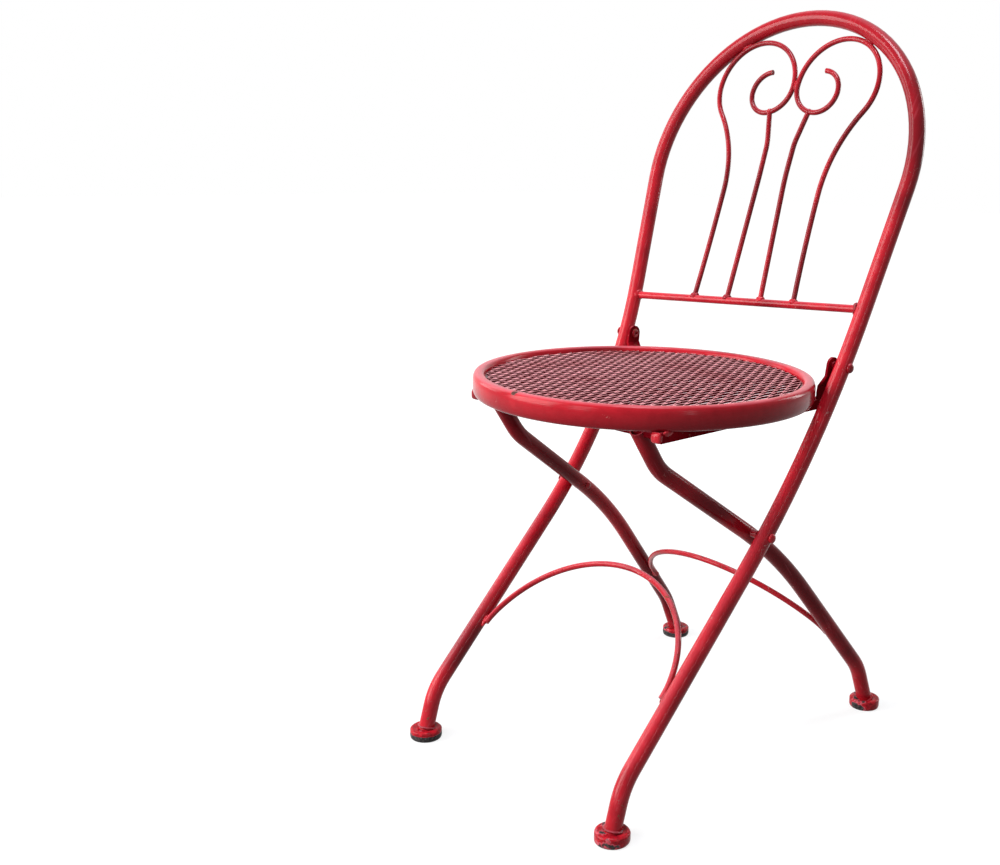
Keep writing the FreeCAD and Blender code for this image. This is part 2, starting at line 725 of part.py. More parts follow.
def diamond_centres(reach):
    """Centres of the mesh openings: two interleaved grids that fit inside a circle."""
    long_pitch = size("mesh_long_pitch")
    short_pitch = size("mesh_short_pitch")
    centres = []
    rows = int(2 * reach / short_pitch) + 2
    for row in range(-rows, rows + 1):
        shift = (row % 2) * long_pitch / 2.0
        columns = int(reach / long_pitch) + 2
        for column in range(-columns, columns + 1):
            centre = V(column * long_pitch + shift, row * short_pitch / 2.0)
            half_long = long_pitch / 2.0
            half_short = short_pitch / 2.0
            far = math.hypot(abs(centre.x) + half_long, abs(centre.y))
            high = math.hypot(abs(centre.x), abs(centre.y) + half_short)
            if max(far, high) < reach:
                centres.append(centre)
    return centres


def make_seat_mesh():
    """Flat expanded sheet: a disc with diamond openings, made as one holed face."""
    radius = size("seat_radius") - size("rim_width") - size("weld_gap")
    strand = size("mesh_strand")
    long_half = size("mesh_long_pitch") / 2.0
    short_half = size("mesh_short_pitch") / 2.0
    slope = math.hypot(long_half, short_half)
    long_tip = long_half - strand / 2.0 * slope / short_half
    short_tip = short_half - strand / 2.0 * slope / long_half
    wires = [Part.Wire(Part.makeCircle(radius))]
    for centre in diamond_centres(radius - size("mesh_border")):
        corners = [centre + V(long_tip, 0), centre + V(0, short_tip),
                   centre - V(long_tip, 0), centre - V(0, short_tip)]
        wires.append(Part.makePolygon(corners + corners[:1]))
    sheet = Part.makeFace(wires, "Part::FaceMakerBullseye").extrude(V(0, 0, size("mesh_thickness")))
    level = size("seat_height") - size("mesh_depth") - size("mesh_thickness")
    print("mesh openings", len(wires) - 1)
    return feature("seat_mesh", sheet, at(0, SEAT_Y, level))


def make_seat_rail(label, side):
    """Channel under the rim, open inwards and closed at its front end."""
    sign = "%d * " % side
    outer = sign + "({rail_offset} + {rail_width} / 2)"
    wall = sign + "({rail_offset} + {rail_width} / 2 - {rail_wall})"
    inner = sign + "({rail_offset} - {rail_width} / 2)"
    body = DOC.addObject("PartDesign::Body", label)
    body.Label = label
    corners = [(outer, "0"), (inner, "0"), (inner, "-{rail_wall}"), (wall, "-{rail_wall}"),
               (wall, "-{rail_depth}"), (outer, "-{rail_depth}")]
    if side < 0:
        corners.reverse()
    profile = outline(body, "XZ_Plane", corners, label + "_section")
    channel = body.newObject("PartDesign::Pad", label + "_channel")
    channel.Profile = profile
    channel.Length = RAIL_REAR - RAIL_FRONT
    channel.Reversed = True
    body.Tip = channel
    DOC.recompute()
    plate = [(outer, "0"), (inner, "0"), (inner, "-{rail_depth}"), (outer, "-{rail_depth}")]
    if side < 0:
        plate.reverse()
    end_face = outline(body, "XZ_Plane", plate, label + "_end_section")
    end_plate = body.newObject("PartDesign::Pad", label + "_end")
    end_plate.Profile = end_face
    end_plate.setExpression("Length", cell("{rail_wall}"))
    end_plate.Reversed = True
    body.Tip = end_plate
    body.Placement = at(0, RAIL_FRONT, RIM_BASE)
    return body


def make_seat_bracket(label, side):
    """Plate from the rear of a rail up to the hinge, jogged outwards, with a round eye."""
    thickness = size("bracket_thickness")
    eye = V(0, HINGE.y, HINGE.z)
    eye_r = size("bracket_eye_radius")
    base = RIM_BASE
    low = base - size("rail_depth")
    neck = HINGE.y - size("bracket_neck_reach")
    front = HINGE.y - size("bracket_foot_reach")
    rear = HINGE.y + size("bracket_foot_past")
    gap = size("seat_gap")
    side_view = Part.makePolygon([
        V(0, front, low), V(0, rear, low), V(0, rear + 4, base),
        V(0, eye.y + eye_r, eye.z), V(0, eye.y, eye.z), V(0, eye.y - eye_r, eye.z),
        V(0, neck, base + 8), V(0, neck, base - gap), V(0, front, base - gap), V(0, front, low),
    ])
    wide = EYE_OUTER + 10
    blank = Part.Face(side_view).extrude(V(wide, 0, 0))
    blank = blank.fuse(Part.makeCylinder(eye_r, wide, eye, V(1, 0, 0)))
    foot_in = size("rail_offset") + size("rail_width") / 2.0
    eye_in = EYE_INNER
    jog_low = eye.z - eye_r - 2 - size("bracket_jog_height")
    jog_high = eye.z - eye_r - 2
    bend_view = Part.makePolygon([
        V(foot_in, 0, low - 1), V(foot_in + thickness, 0, low - 1), V(foot_in + thickness, 0, jog_low),
        V(eye_in + thickness, 0, jog_high), V(eye_in + thickness, 0, eye.z + 2 * eye_r),
        V(eye_in, 0, eye.z + 2 * eye_r), V(eye_in, 0, jog_high + 1),
        V(foot_in, 0, jog_low + 1), V(foot_in, 0, low - 1),
    ])
    bent = Part.Face(bend_view).extrude(V(0, 400, 0))
    plate = blank.common(bent).removeSplitter()
    plate = plate.cut(pivot_hole(V(EYE_INNER, eye.y, eye.z), 40))
    if side < 0:
        plate = plate.mirror(V(0, 0, 0), V(1, 0, 0))
    return feature(label, plate, at(0, 0, 0))


def build():
    """All sub-parts of the chair."""
    parts = [make_back_hoop_tube(), make_back_cross_rail()]
    for word, side in (("left", 1), ("right", -1)):
        parts.append(make_scroll("scroll_" + word, side))
        parts.append(make_inner_rod("inner_rod_" + word, side))
    knee, bend, _ = front_leg_points(1)
    parts.append(make_arch("front_arch", knee, bend, size("front_arch_height"),
                           size("front_arch_rise"), size("front_arch_shoulder"),
                           size("front_arch_tilt")))
    _, _, elbow, rear_bend, _ = rear_leg_points(1)
    parts.append(make_arch("rear_arch", elbow, rear_bend, size("rear_arch_height"),
                           size("rear_arch_rise"), size("rear_arch_shoulder"),
                           size("rear_arch_tilt")))
    for word, side in (("left", 1), ("right", -1)):
        parts.append(make_rear_leg("rear_leg_" + word, side))
        parts.append(make_seat_rail("seat_rail_" + word, side))
        parts.append(make_seat_bracket("seat_bracket_" + word, side))
    parts.append(make_slide_rod())
    parts += make_pivots()
    parts += make_feet()
    parts.append(make_seat_ring())
    parts.append(make_seat_mesh())
    return parts


def check(parts):
    """Stop when any object has failed or any sub-part has no valid solid."""
    for item in DOC.Objects:
        if "Invalid" in item.State or "Error" in item.State:
            raise RuntimeError("%s is in state %s" % (item.Name, item.State))
    for item in parts:
        if item.Shape.isNull() or not item.Shape.isValid() or not item.Shape.Solids:
            raise RuntimeError(item.Label + " has no valid solid")


def main():
    parts = build()
    DOC.recompute()
    check(parts)
    os.makedirs("parts", exist_ok=True)
    for item in parts:
        item.Shape.exportStep(os.path.join("parts", item.Label + ".step"))
    for name, point in (("hinge", HINGE), ("cross", CROSS), ("cross rail end", RAIL_END)):
        point = point + SHIFT
        print("%s at %.3f %.3f %.3f" % (name, point.x, point.y, point.z))
    print("slide rod at %.3f %.3f" % (SLIDE_Y + SHIFT.y, SLIDE_Z))
    print("seat centre at %.3f, %d sub-parts" % (SHIFT.y, len(parts)))


main()
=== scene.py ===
# %% [markdown]
# # A folding bistro chair in red enamel
# The chair is a round tube hoop with scroll work, a round mesh seat and crossed tube legs, all
# brushed and dipped in red enamel that has run, chipped and dulled outdoors. Its tubes, rods and
# plates come from the measured model. This lesson adds what a measured model leaves out: the
# mesh, the welds, the rivets, the rubbed foot caps and the paint itself.

# %% Load the measured frame
import math

import bpy
import numpy as np
from mathutils import Matrix, Vector


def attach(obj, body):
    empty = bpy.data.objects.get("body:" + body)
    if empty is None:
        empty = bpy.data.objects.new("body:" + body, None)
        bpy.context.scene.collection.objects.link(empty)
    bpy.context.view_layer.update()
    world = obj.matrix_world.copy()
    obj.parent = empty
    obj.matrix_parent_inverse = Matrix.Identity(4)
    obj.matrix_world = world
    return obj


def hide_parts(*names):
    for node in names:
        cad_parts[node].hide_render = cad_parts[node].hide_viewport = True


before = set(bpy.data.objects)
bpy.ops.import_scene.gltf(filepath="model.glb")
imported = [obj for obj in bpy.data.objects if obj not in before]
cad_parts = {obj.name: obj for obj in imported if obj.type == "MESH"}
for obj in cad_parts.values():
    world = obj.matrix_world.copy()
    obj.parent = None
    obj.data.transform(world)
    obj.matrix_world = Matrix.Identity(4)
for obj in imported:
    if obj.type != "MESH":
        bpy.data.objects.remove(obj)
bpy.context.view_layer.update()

# %% [markdown]
# ## The measured size
# What is added is not meant to make the chair any bigger than the measured model.

# %% [markdown]
# ## Stand where the photograph was taken
# The viewpoint was worked out from the chair itself: it stands right of the chair and a little
# above the seat, and looks slightly down. Turning the camera by a compass angle, a tilt and a
# small roll says that more plainly than a matrix would. The chair stood right of the middle of
# the picture, which is a shift of the lens and not a turn of the camera.

# %% Place the camera
CAMERA_PLACE = (0.9286, -1.0576, 0.6989)
COMPASS, TILT_DOWN, ROLL = 43.873, 13.572, 1.378
PICTURE_WIDE, PICTURE_HIGH = 1000, 865
FOCAL_PIXELS = 1204.05
AXIS_PIXEL = (612.2, 441.1)
SENSOR_WIDE = 36.0

lens = bpy.data.cameras.new("photograph_lens")
lens.sensor_width = SENSOR_WIDE
lens.lens = SENSOR_WIDE * FOCAL_PIXELS / PICTURE_WIDE
lens.shift_x = (PICTURE_WIDE / 2 - AXIS_PIXEL[0]) / PICTURE_WIDE
lens.shift_y = (AXIS_PIXEL[1] - PICTURE_HIGH / 2) / PICTURE_WIDE
lens.clip_start, lens.clip_end = 0.01, 100.0
camera = bpy.data.objects.new("photograph_camera", lens)
bpy.context.scene.collection.objects.link(camera)
camera.matrix_world = (
    Matrix.Translation(CAMERA_PLACE)
    @ Matrix.Rotation(math.radians(COMPASS), 4, "Z")
    @ Matrix.Rotation(math.radians(90.0 - TILT_DOWN), 4, "X")
    @ Matrix.Rotation(math.radians(ROLL), 4, "Z")
)
bpy.context.scene.camera = camera
bpy.context.scene.view_settings.view_transform = "Standard"
print("lens", round(lens.lens, 2), "mm")

# %% [markdown]
# ## Write materials in one line per node
# A material is a graph of small steps. Joining them by hand takes many lines, so one helper adds
# a node, sets its fixed values and links whatever sockets it is given. Every finish below is then
# a short list of steps that can be read from top to bottom.

# %% Helpers for node graphs
def add_node(tree, kind, settings=None, **inputs):
    """Add a node. settings are its properties; inputs are sockets by name, or by number as i0."""
    made = tree.nodes.new(kind)
    for key, value in (settings or {}).items():
        setattr(made, key, value)
    for key, value in inputs.items():
        by_number = key[0] == "i" and key[1:].isdigit()
        socket = made.inputs[int(key[1:]) if by_number else key.replace("_", " ")]
        if isinstance(value, bpy.types.NodeSocket):
            tree.links.new(value, socket)
        else:
            socket.default_value = value
    return made


def fresh_material(name):
    """A material with an empty graph."""
    material = bpy.data.materials.new(name)
    material.use_nodes = True
    material.node_tree.nodes.clear()
    return material, material.node_tree


def math_node(tree, operation, a, b, clamp=False):
    """One arithmetic step on two numbers or sockets."""
    return add_node(tree, "ShaderNodeMath", {"operation": operation, "use_clamp": clamp},
                    i0=a, i1=b).outputs[0]


def times(tree, a, b):
    """The product of two numbers or sockets."""
    return math_node(tree, "MULTIPLY", a, b)


def plus(tree, a, b):
    """The sum of two numbers or sockets."""
    return math_node(tree, "ADD", a, b)


def along_axis(tree, vector, axis):
    """One number of a vector: 0 is to the side, 1 is to the back, 2 is up."""
    return add_node(tree, "ShaderNodeSeparateXYZ", i0=vector).outputs[axis]


def noise(tree, place, scale, detail, rough=0.5, warp=0.0):
    """Cloud of values near one half, with features of about 1/scale metres."""
    return add_node(tree, "ShaderNodeTexNoise", Vector=place, Scale=scale, Detail=detail,
                    Roughness=rough, Distortion=warp).outputs["Fac"]


def ramp(tree, value, low, high):
    """Nothing at low, all at high, and a smooth step in between; low may be the larger one."""
    return add_node(tree, "ShaderNodeMapRange", {"interpolation_type": "SMOOTHSTEP"},
                    Value=value, From_Min=low, From_Max=high).outputs["Result"]


def blend_colour(tree, share, first, second):
    """Two colours mixed by a share from 0 to 1."""
    return add_node(tree, "ShaderNodeMix", {"data_type": "RGBA"},
                    i0=share, i6=first, i7=second).outputs[2]


def close_material(tree, colour, rough, height, strength, depth, sheen):
    """Bumps of the given depth in metres under a painted surface that mirrors by sheen."""
    relief = add_node(tree, "ShaderNodeBump", Strength=strength, Distance=depth, Height=height)
    shader = add_node(tree, "ShaderNodeBsdfPrincipled", Base_Color=colour, Roughness=rough,
                      Normal=relief.outputs[0])
    shader.inputs["Specular IOR Level"].default_value = sheen
    add_node(tree, "ShaderNodeOutputMaterial", Surface=shader.outputs[0])


print("helpers ready")

# %% [markdown]
# ## A plain pale studio
# The chair was photographed on white. A white floor lit until it clips would also flood the chair
# with light, so the floor and the room are dim for the lamps, and are lifted to white only for
# rays that come straight from the camera or from a reflection. The lift is small enough that the
# shadow under the feet still shows.

# %% Build the floor and the room
FLOOR_HALF, FLOOR_DROP = 14.0, 0.0005
FLOOR_GREY = (0.22, 0.22, 0.22, 1.0)
WHITE = (1.0, 1.0, 1.0, 1.0)
SKY = (0.93, 0.96, 1.0, 1.0)
GLOW_UNDER_CHAIR, GLOW_AWAY = 0.80, 1.05
GLOW_STARTS, GLOW_FULL = 0.35, 1.7
ROOM_FOR_LAMPS, ROOM_SEEN = 0.10, 1.0


def lifted_to_white(tree):
    """One for rays from the camera and for reflected or transmitted rays, else nothing."""
    path = tree.nodes.new("ShaderNodeLightPath")
    either = math_node(tree, "MAXIMUM", path.outputs["Is Camera Ray"],
                       path.outputs["Is Glossy Ray"])
    return math_node(tree, "MAXIMUM", either, path.outputs["Is Transmission Ray"])


def make_floor_material():
    """Matt grey floor that glows to near white, but only for rays that look at it."""
    material, tree = fresh_material("studio_floor")
    matt = add_node(tree, "ShaderNodeBsdfDiffuse", Color=FLOOR_GREY)
    place = add_node(tree, "ShaderNodeTexCoord").outputs["Object"]
    away = add_node(tree, "ShaderNodeVectorMath", {"operation": "LENGTH"}, i0=place)
    strength = add_node(tree, "ShaderNodeMapRange", {"interpolation_type": "SMOOTHSTEP"},
                        Value=away.outputs["Value"], From_Min=GLOW_STARTS, From_Max=GLOW_FULL,
                        To_Min=GLOW_UNDER_CHAIR, To_Max=GLOW_AWAY)
    glow = add_node(tree, "ShaderNodeEmission", Color=WHITE, Strength=strength.outputs["Result"])
    both = add_node(tree, "ShaderNodeAddShader", i0=matt.outputs[0], i1=glow.outputs[0])
    chosen = add_node(tree, "ShaderNodeMixShader", i0=lifted_to_white(tree),
                      i1=matt.outputs[0], i2=both.outputs[0])
    add_node(tree, "ShaderNodeOutputMaterial", Surface=chosen.outputs[0])
    return material


floor_mesh = bpy.data.meshes.new("studio_floor")
floor_mesh.from_pydata([(-FLOOR_HALF, -FLOOR_HALF, -FLOOR_DROP),
                        (FLOOR_HALF, -FLOOR_HALF, -FLOOR_DROP),
                        (FLOOR_HALF, FLOOR_HALF, -FLOOR_DROP),
                        (-FLOOR_HALF, FLOOR_HALF, -FLOOR_DROP)], [], [(0, 1, 2, 3)])
floor = bpy.data.objects.new("studio_floor", floor_mesh)
bpy.context.scene.collection.objects.link(floor)
floor_mesh.materials.append(make_floor_material())

room = bpy.data.worlds.new("studio_room")
room.use_nodes = True
tree = room.node_tree
tree.nodes.clear()
dim = add_node(tree, "ShaderNodeBackground", Color=SKY, Strength=ROOM_FOR_LAMPS)
white = add_node(tree, "ShaderNodeBackground", Color=WHITE, Strength=ROOM_SEEN)
room_mix = add_node(tree, "ShaderNodeMixShader", i0=lifted_to_white(tree),
                    i1=dim.outputs[0], i2=white.outputs[0])
add_node(tree, "ShaderNodeOutputWorld", Surface=room_mix.outputs[0])
bpy.context.scene.world = room
print("floor and room ready")

# %% [markdown]
# ## Soft lamps
# Thin tubes show a lamp as a long bright streak, and the streak is as wide as the lamp looks from
# the tube. The paint of the real chair mirrors something wide and bright, so three wide boxes side
# by side make a band from the front round to the left, which fills the lit half of every tube with
# a pale sheen and ends in a clear edge. One overhead gives the pale tops, and two narrow ones at
# the right and behind keep the far sides from going black.

# %% Hang the lamps
CHAIR_MIDDLE = Vector((0.0, 0.0, 0.45))
WARM, COOL = (1.0, 0.98, 0.97), (0.95, 0.97, 1.0)
OVERHEAD, PALE = (0.88, 0.93, 1.0), (0.97, 0.98, 1.0)


def softbox(name, place, wide, tall, watts, tint):
    """Rectangular lamp at a place, aimed at the middle of the chair."""
    data = bpy.data.lights.new(name, "AREA")
    data.shape = "RECTANGLE"
    data.size, data.size_y = wide, tall
    data.energy = watts
    data.color = tint
    lamp = bpy.data.objects.new(name, data)
    lamp.location = place
    lamp.rotation_euler = (CHAIR_MIDDLE - Vector(place)).to_track_quat("-Z", "Y").to_euler()
    bpy.context.scene.collection.objects.link(lamp)


softbox("lamp_left", (-1.45, -2.25, 1.35), 1.7, 2.2, 140.0, WARM)
softbox("lamp_window", (0.15, -2.9, 1.20), 0.7, 1.8, 26.0, COOL)
softbox("lamp_far_left", (-2.75, -0.6, 1.40), 1.3, 1.8, 26.0, COOL)
softbox("lamp_above", (0.1, -0.2, 3.1), 0.8, 0.8, 56.0, OVERHEAD)
softbox("lamp_right", (2.6, -0.9, 1.1), 0.20, 1.7, 8.0, PALE)
softbox("lamp_back", (0.9, 2.9, 1.5), 0.60, 1.6, 34.0, WARM)
print("six lamps hung")

# %% [markdown]
# ## Red enamel that has been outdoors
# The paint is a thick crimson enamel. It could be one colour with a gloss, but the real coat is
# never even: it is darker where it is thick, it carries long runs, it is finely pitted, and where
# it was knocked it has chipped to dark primer and rust with a pale broken edge. All of that is
# worked out from places on the object, so it stays on the metal from every side. Over it lie
# painted shade, darker under the seat and in bands of height, and a pale painted sheen on upward
# faces and in streaks between the runs.

# %% Colours of the paint
ENAMEL = (0.425, 0.010, 0.019, 1.0)
# Dark red: thick paint, and also painted shade under the seat and in bands of height.
ENAMEL_THICK_AND_SHADE = (0.150, 0.002, 0.006, 1.0)
# Pale red: chalk and worn edges, and also a painted sheen and painted highlight streaks.
ENAMEL_PALE_WEAR_AND_SHEEN = (0.680, 0.150, 0.190, 1.0)
CHIP_EDGE = (0.480, 0.200, 0.180, 1.0)
PRIMER = (0.060, 0.022, 0.018, 1.0)
RUST = (0.150, 0.045, 0.018, 1.0)
print("six colours of paint, primer and rust")

# %% [markdown]
# ## Thick and thin paint, painted shade and painted highlight streaks
# A coat that is brushed and dipped is dark where it is thick. One cloud of noise could decide
# that, but a real coat is uneven in several sizes at once. So there are broad thick areas, a fine
# mottle, runs that follow the way the tube hung, and a band of painted shade at one height. Each
# pulls the colour a little towards the dark red, and between the runs pale streaks are a painted
# highlight.

# %% Spread the paint
MOTTLE_SHARE, RUN_SHARE, HIGHLIGHT_STREAK_SHARE = 0.30, 0.60, 0.25
SHADE_BAND_UNEVEN = 0.010


def spread_paint(tree, place, clouds, dark_share, runs, shade_band):
    """Colour of the sound coat: each share of dark paint, of painted shade and of painted highlight
    is a ramp over a cloud.

    shade_band is the height where the painted shade is full, the height where it has faded out,
    and how much.
    """
    broad, fine, sag = clouds
    # Broad dark areas: thick paint, and painted shade where the dark share is high.
    depth = ramp(tree, broad, 0.62 - 0.4 * dark_share, 0.92 - 0.4 * dark_share)
    colour = blend_colour(tree, depth, ENAMEL, ENAMEL_THICK_AND_SHADE)
    mottle = times(tree, ramp(tree, fine, 0.30, 0.74), MOTTLE_SHARE)
    colour = blend_colour(tree, mottle, colour, ENAMEL_THICK_AND_SHADE)
    run = times(tree, ramp(tree, sag, 0.54, 0.68), RUN_SHARE * runs)
    colour = blend_colour(tree, run, colour, ENAMEL_THICK_AND_SHADE)
    # A band of painted shade, full at one height and fading out towards another.
    if shade_band:
        height = plus(tree, along_axis(tree, place, 2), times(tree, broad, SHADE_BAND_UNEVEN))
        band_shade = times(tree, ramp(tree, height, shade_band[1], shade_band[0]), shade_band[2])
        colour = blend_colour(tree, band_shade, colour, ENAMEL_THICK_AND_SHADE)
    # Pale streaks between the runs: a painted highlight.
    painted_highlight = times(tree, ramp(tree, sag, 0.40, 0.30), HIGHLIGHT_STREAK_SHARE * runs)
    return blend_colour(tree, painted_highlight, colour, ENAMEL_PALE_WEAR_AND_SHEEN)


print("coat rule ready")

# %% [markdown]
# ## Knocks and chips
# Chips could be sprinkled evenly, which looks like dirt. They really come in clusters where things
# knock together, and always near the floor. So a broad cloud says where knocks happen, a fine one
# cuts their ragged outlines, and single marks that are known are added as ragged spots.

# %% Knock the paint off
CLUSTER_CLOUD, KNOCK_CLOUD = 14.0, 170.0
ALL_BELOW, NONE_ABOVE = 0.030, 0.075
SPOT_EDGE, SPOT_FADED = 1.30, 1.42


def knocked_off(tree, place, chips, spots, offset):
    """How much paint is missing: ragged knocks times their clusters, or any of the spots.

    A spot is a place and a radius. It fills where distance / radius plus the ragged cloud is low.
    """
    cluster = noise(tree, place, CLUSTER_CLOUD, 2.0)
    cluster = ramp(tree, cluster, 0.56 - 0.16 * chips, 0.74 - 0.16 * chips)
    near_floor = ramp(tree, along_axis(tree, place, 2), NONE_ABOVE, ALL_BELOW)
    cluster = math_node(tree, "MAXIMUM", cluster, near_floor)
    knocks = noise(tree, place, KNOCK_CLOUD, 4.0, 0.62, 0.6)
    missing = times(tree, cluster, ramp(tree, knocks, 0.635, 0.660))
    for centre, radius in spots:
        far = add_node(tree, "ShaderNodeVectorMath", {"operation": "DISTANCE"}, i0=place,
                       i1=(centre[0] + offset, centre[1], centre[2])).outputs["Value"]
        ragged = plus(tree, math_node(tree, "DIVIDE", far, radius), knocks)
        missing = math_node(tree, "MAXIMUM", missing, ramp(tree, ragged, SPOT_FADED, SPOT_EDGE))
    return missing


print("chip rule ready")

# %% [markdown]
# ## One coat of enamel
# The coat is put together from the outside in: sound paint, tops pale with chalk and a painted
# sheen, the broken edge of each chip and the bare metal inside it. Gloss and relief follow the same
# clouds as the colour, because a run is seen both as a dark line and as a ridge. A picture of paint
# would not line them up.

# %% Mix one coat
BROAD_CLOUD, FINE_CLOUD, RUN_CLOUD, PEEL_CLOUD = 9.0, 85.0, 260.0, 420.0
RUN_STRETCH = 0.045
CHIP_EDGE_SHARE = 0.55
ROUGHNESS_LEAST, FINE_ROUGHNESS, CHALK_AND_SHEEN_ROUGHNESS, BARE_ROUGHNESS = 0.13, 0.08, 0.15, 0.45
PEEL_RELIEF, RUN_RELIEF, FINE_RELIEF, CHIP_RELIEF = 0.10, 0.55, 0.28, 0.60
RELIEF_STRENGTH, PAINT_DEPTH = 0.40, 0.0006


def make_enamel(name, dark_share, chips, top_chalk_and_sheen, runs, lean=0.0, spots=(), offset=0.0, sheen=0.13,
                shade_band=None):
    """Enamel with runs, chips, painted shade, and tops pale with chalk and a painted sheen:
    colours, gloss and relief over shared clouds.

    dark_share is the share of dark paint, which under the seat and on the rear legs stands for
    painted shade, chips how much has been knocked off, top_chalk_and_sheen how pale the upward
    faces are with chalk and a painted sheen, and runs how strong the sags and the painted highlight
    streaks between them are. They follow a line that leans back by lean degrees. spots are bare
    marks, offset moves the clouds so that no two coats are alike, sheen is how strongly the paint
    mirrors, and shade_band says at which heights a band of painted shade falls.
    """
    material, tree = fresh_material(name)
    place = add_node(tree, "ShaderNodeTexCoord").outputs["Object"]
    place = add_node(tree, "ShaderNodeMapping", Vector=place,
                     Location=(offset, 0.0, 0.0)).outputs[0]
    upright = add_node(tree, "ShaderNodeMapping", Vector=place,
                       Rotation=(math.radians(lean), 0.0, 0.0)).outputs[0]
    along = add_node(tree, "ShaderNodeMapping", Vector=upright,
                     Scale=(1.0, 1.0, RUN_STRETCH)).outputs[0]
    broad = noise(tree, place, BROAD_CLOUD, 3.0)
    fine = noise(tree, place, FINE_CLOUD, 5.0, 0.6)
    sag = noise(tree, along, RUN_CLOUD, 2.0)
    peel = noise(tree, place, PEEL_CLOUD, 2.0)

    colour = spread_paint(tree, place, (broad, fine, sag), dark_share, runs, shade_band)
    # Upward faces are made pale: chalk, and a painted sheen on whatever faces up.
    facing = along_axis(tree, add_node(tree, "ShaderNodeNewGeometry").outputs["Normal"], 2)
    lit_top = times(tree, ramp(tree, facing, 0.50, 0.98), ramp(tree, broad, 0.22, 0.55))
    chalk_and_sheen = times(tree, lit_top, top_chalk_and_sheen)
    colour = blend_colour(tree, chalk_and_sheen, colour, ENAMEL_PALE_WEAR_AND_SHEEN)

    missing = knocked_off(tree, place, chips, spots, offset)
    bare = ramp(tree, missing, 0.55, 0.80)
    edge = math_node(tree, "SUBTRACT", ramp(tree, missing, 0.10, 0.40), bare, True)
    metal = blend_colour(tree, ramp(tree, fine, 0.45, 0.60), PRIMER, RUST)
    colour = blend_colour(tree, times(tree, edge, CHIP_EDGE_SHARE), colour, CHIP_EDGE)
    colour = blend_colour(tree, bare, colour, metal)

    rough = add_node(tree, "ShaderNodeMath", {"operation": "MULTIPLY_ADD"}, i0=fine,
                     i1=FINE_ROUGHNESS, i2=ROUGHNESS_LEAST).outputs[0]
    rough = plus(tree, rough, times(tree, chalk_and_sheen, CHALK_AND_SHEEN_ROUGHNESS))
    rough = math_node(tree, "ADD", rough, times(tree, bare, BARE_ROUGHNESS), True)
    height = plus(tree, times(tree, peel, PEEL_RELIEF), times(tree, sag, RUN_RELIEF * runs))
    height = plus(tree, height, times(tree, fine, FINE_RELIEF))
    height = math_node(tree, "SUBTRACT", height, times(tree, missing, CHIP_RELIEF))
    close_material(tree, colour, rough, height, RELIEF_STRENGTH, PAINT_DEPTH, sheen)
    return material


print("enamel recipe ready")

# %% [markdown]
# ## A coat for each kind of piece
# The pieces were not painted alike. The front frame is smooth, the rods and the legs carry more
# paint and stronger runs, the arches are kicked bare, and the rim is pale on top with chalk and a
# painted sheen. What is under the seat, and the rear legs in its shade, are dark with painted shade
# and dull. The top of the back and of the rods darkens with painted shade, and so does the lower
# edge of the rim. One coat for all would be shorter and lose those differences. The runs lean
# roughly as the tubes do.

# %% Mix the coats
RIM_CHIPS = [((-0.0060, -0.2345, 0.4490), 0.0045)]
# Bands of painted shade: darker towards the top of the back and of the rods, and low on the rim.
HOOP_SHADE_BAND, ROD_SHADE_BAND, RIM_SHADE_BAND = (0.88, 0.50, 0.50), (0.88, 0.50, 0.45), (0.430, 0.452, 0.80)
frame_enamel = make_enamel("enamel_frame", dark_share=0.40, chips=0.30, top_chalk_and_sheen=0.30, runs=0.28,
                           lean=30.0, shade_band=HOOP_SHADE_BAND)
rod_enamel = make_enamel("enamel_rods", dark_share=0.70, chips=0.40, top_chalk_and_sheen=0.35, runs=0.4, lean=19.0,
                         offset=0.7, shade_band=ROD_SHADE_BAND)
# The rear legs stand in the shade of the seat: their high dark share is painted shade.
leg_enamel = make_enamel("enamel_rear_legs", dark_share=0.80, chips=0.25, top_chalk_and_sheen=0.20, runs=0.5,
                         lean=-38.0, offset=1.9, sheen=0.055)
arch_enamel = make_enamel("enamel_arches", dark_share=0.35, chips=0.95, top_chalk_and_sheen=0.40, runs=0.1,
                          offset=3.1)
rim_enamel = make_enamel("enamel_seat_rim", dark_share=0.30, chips=-0.40, top_chalk_and_sheen=0.45, runs=0.0,
                         spots=RIM_CHIPS, offset=4.3, sheen=0.10, shade_band=RIM_SHADE_BAND)
# Under the seat the high dark share is painted shade.
under_enamel = make_enamel("enamel_under_seat", dark_share=0.85, chips=0.35, top_chalk_and_sheen=0.20, runs=0.3,
                           offset=5.7, sheen=0.0)
rivet_enamel = make_enamel("enamel_rivets", dark_share=0.60, chips=0.80, top_chalk_and_sheen=0.45, runs=0.0,
                           offset=6.3)
weld_enamel = make_enamel("enamel_welds", dark_share=0.55, chips=0.35, top_chalk_and_sheen=0.25, runs=0.8,
                          offset=7.9)
print("eight coats of enamel")

# %% [markdown]
# ## The finish of the mesh
# The mesh wears the same enamel, with a pale painted highlight on top of the strands and painted
# shade down their sides. Height above the floor could tell top from side, but the strands do not
# lie level. So each strand carries its own mark, high on its crest and at its joints.

# %% Mix the mesh enamel
# Painted shade for the sides of the strands, and a pale painted highlight for their crests.
MESH_SHADE = (0.040, 0.000, 0.001, 1.0)
MESH_HIGHLIGHT = (0.980, 0.450, 0.475, 1.0)
MESH_BROAD_CLOUD, MESH_FINE_CLOUD, SPECK_CLOUD = 11.0, 260.0, 520.0
MARK_UNEVEN, MESH_HIGHLIGHT_SHARE, SPECK_SHARE = 0.30, 0.95, 0.7
MESH_ROUGHNESS_LEAST, MESH_ROUGHNESS_MOST = 0.24, 0.44
MESH_RELIEF_STRENGTH, MESH_PAINT_DEPTH, MESH_SHEEN = 0.4, 0.0003, 0.008


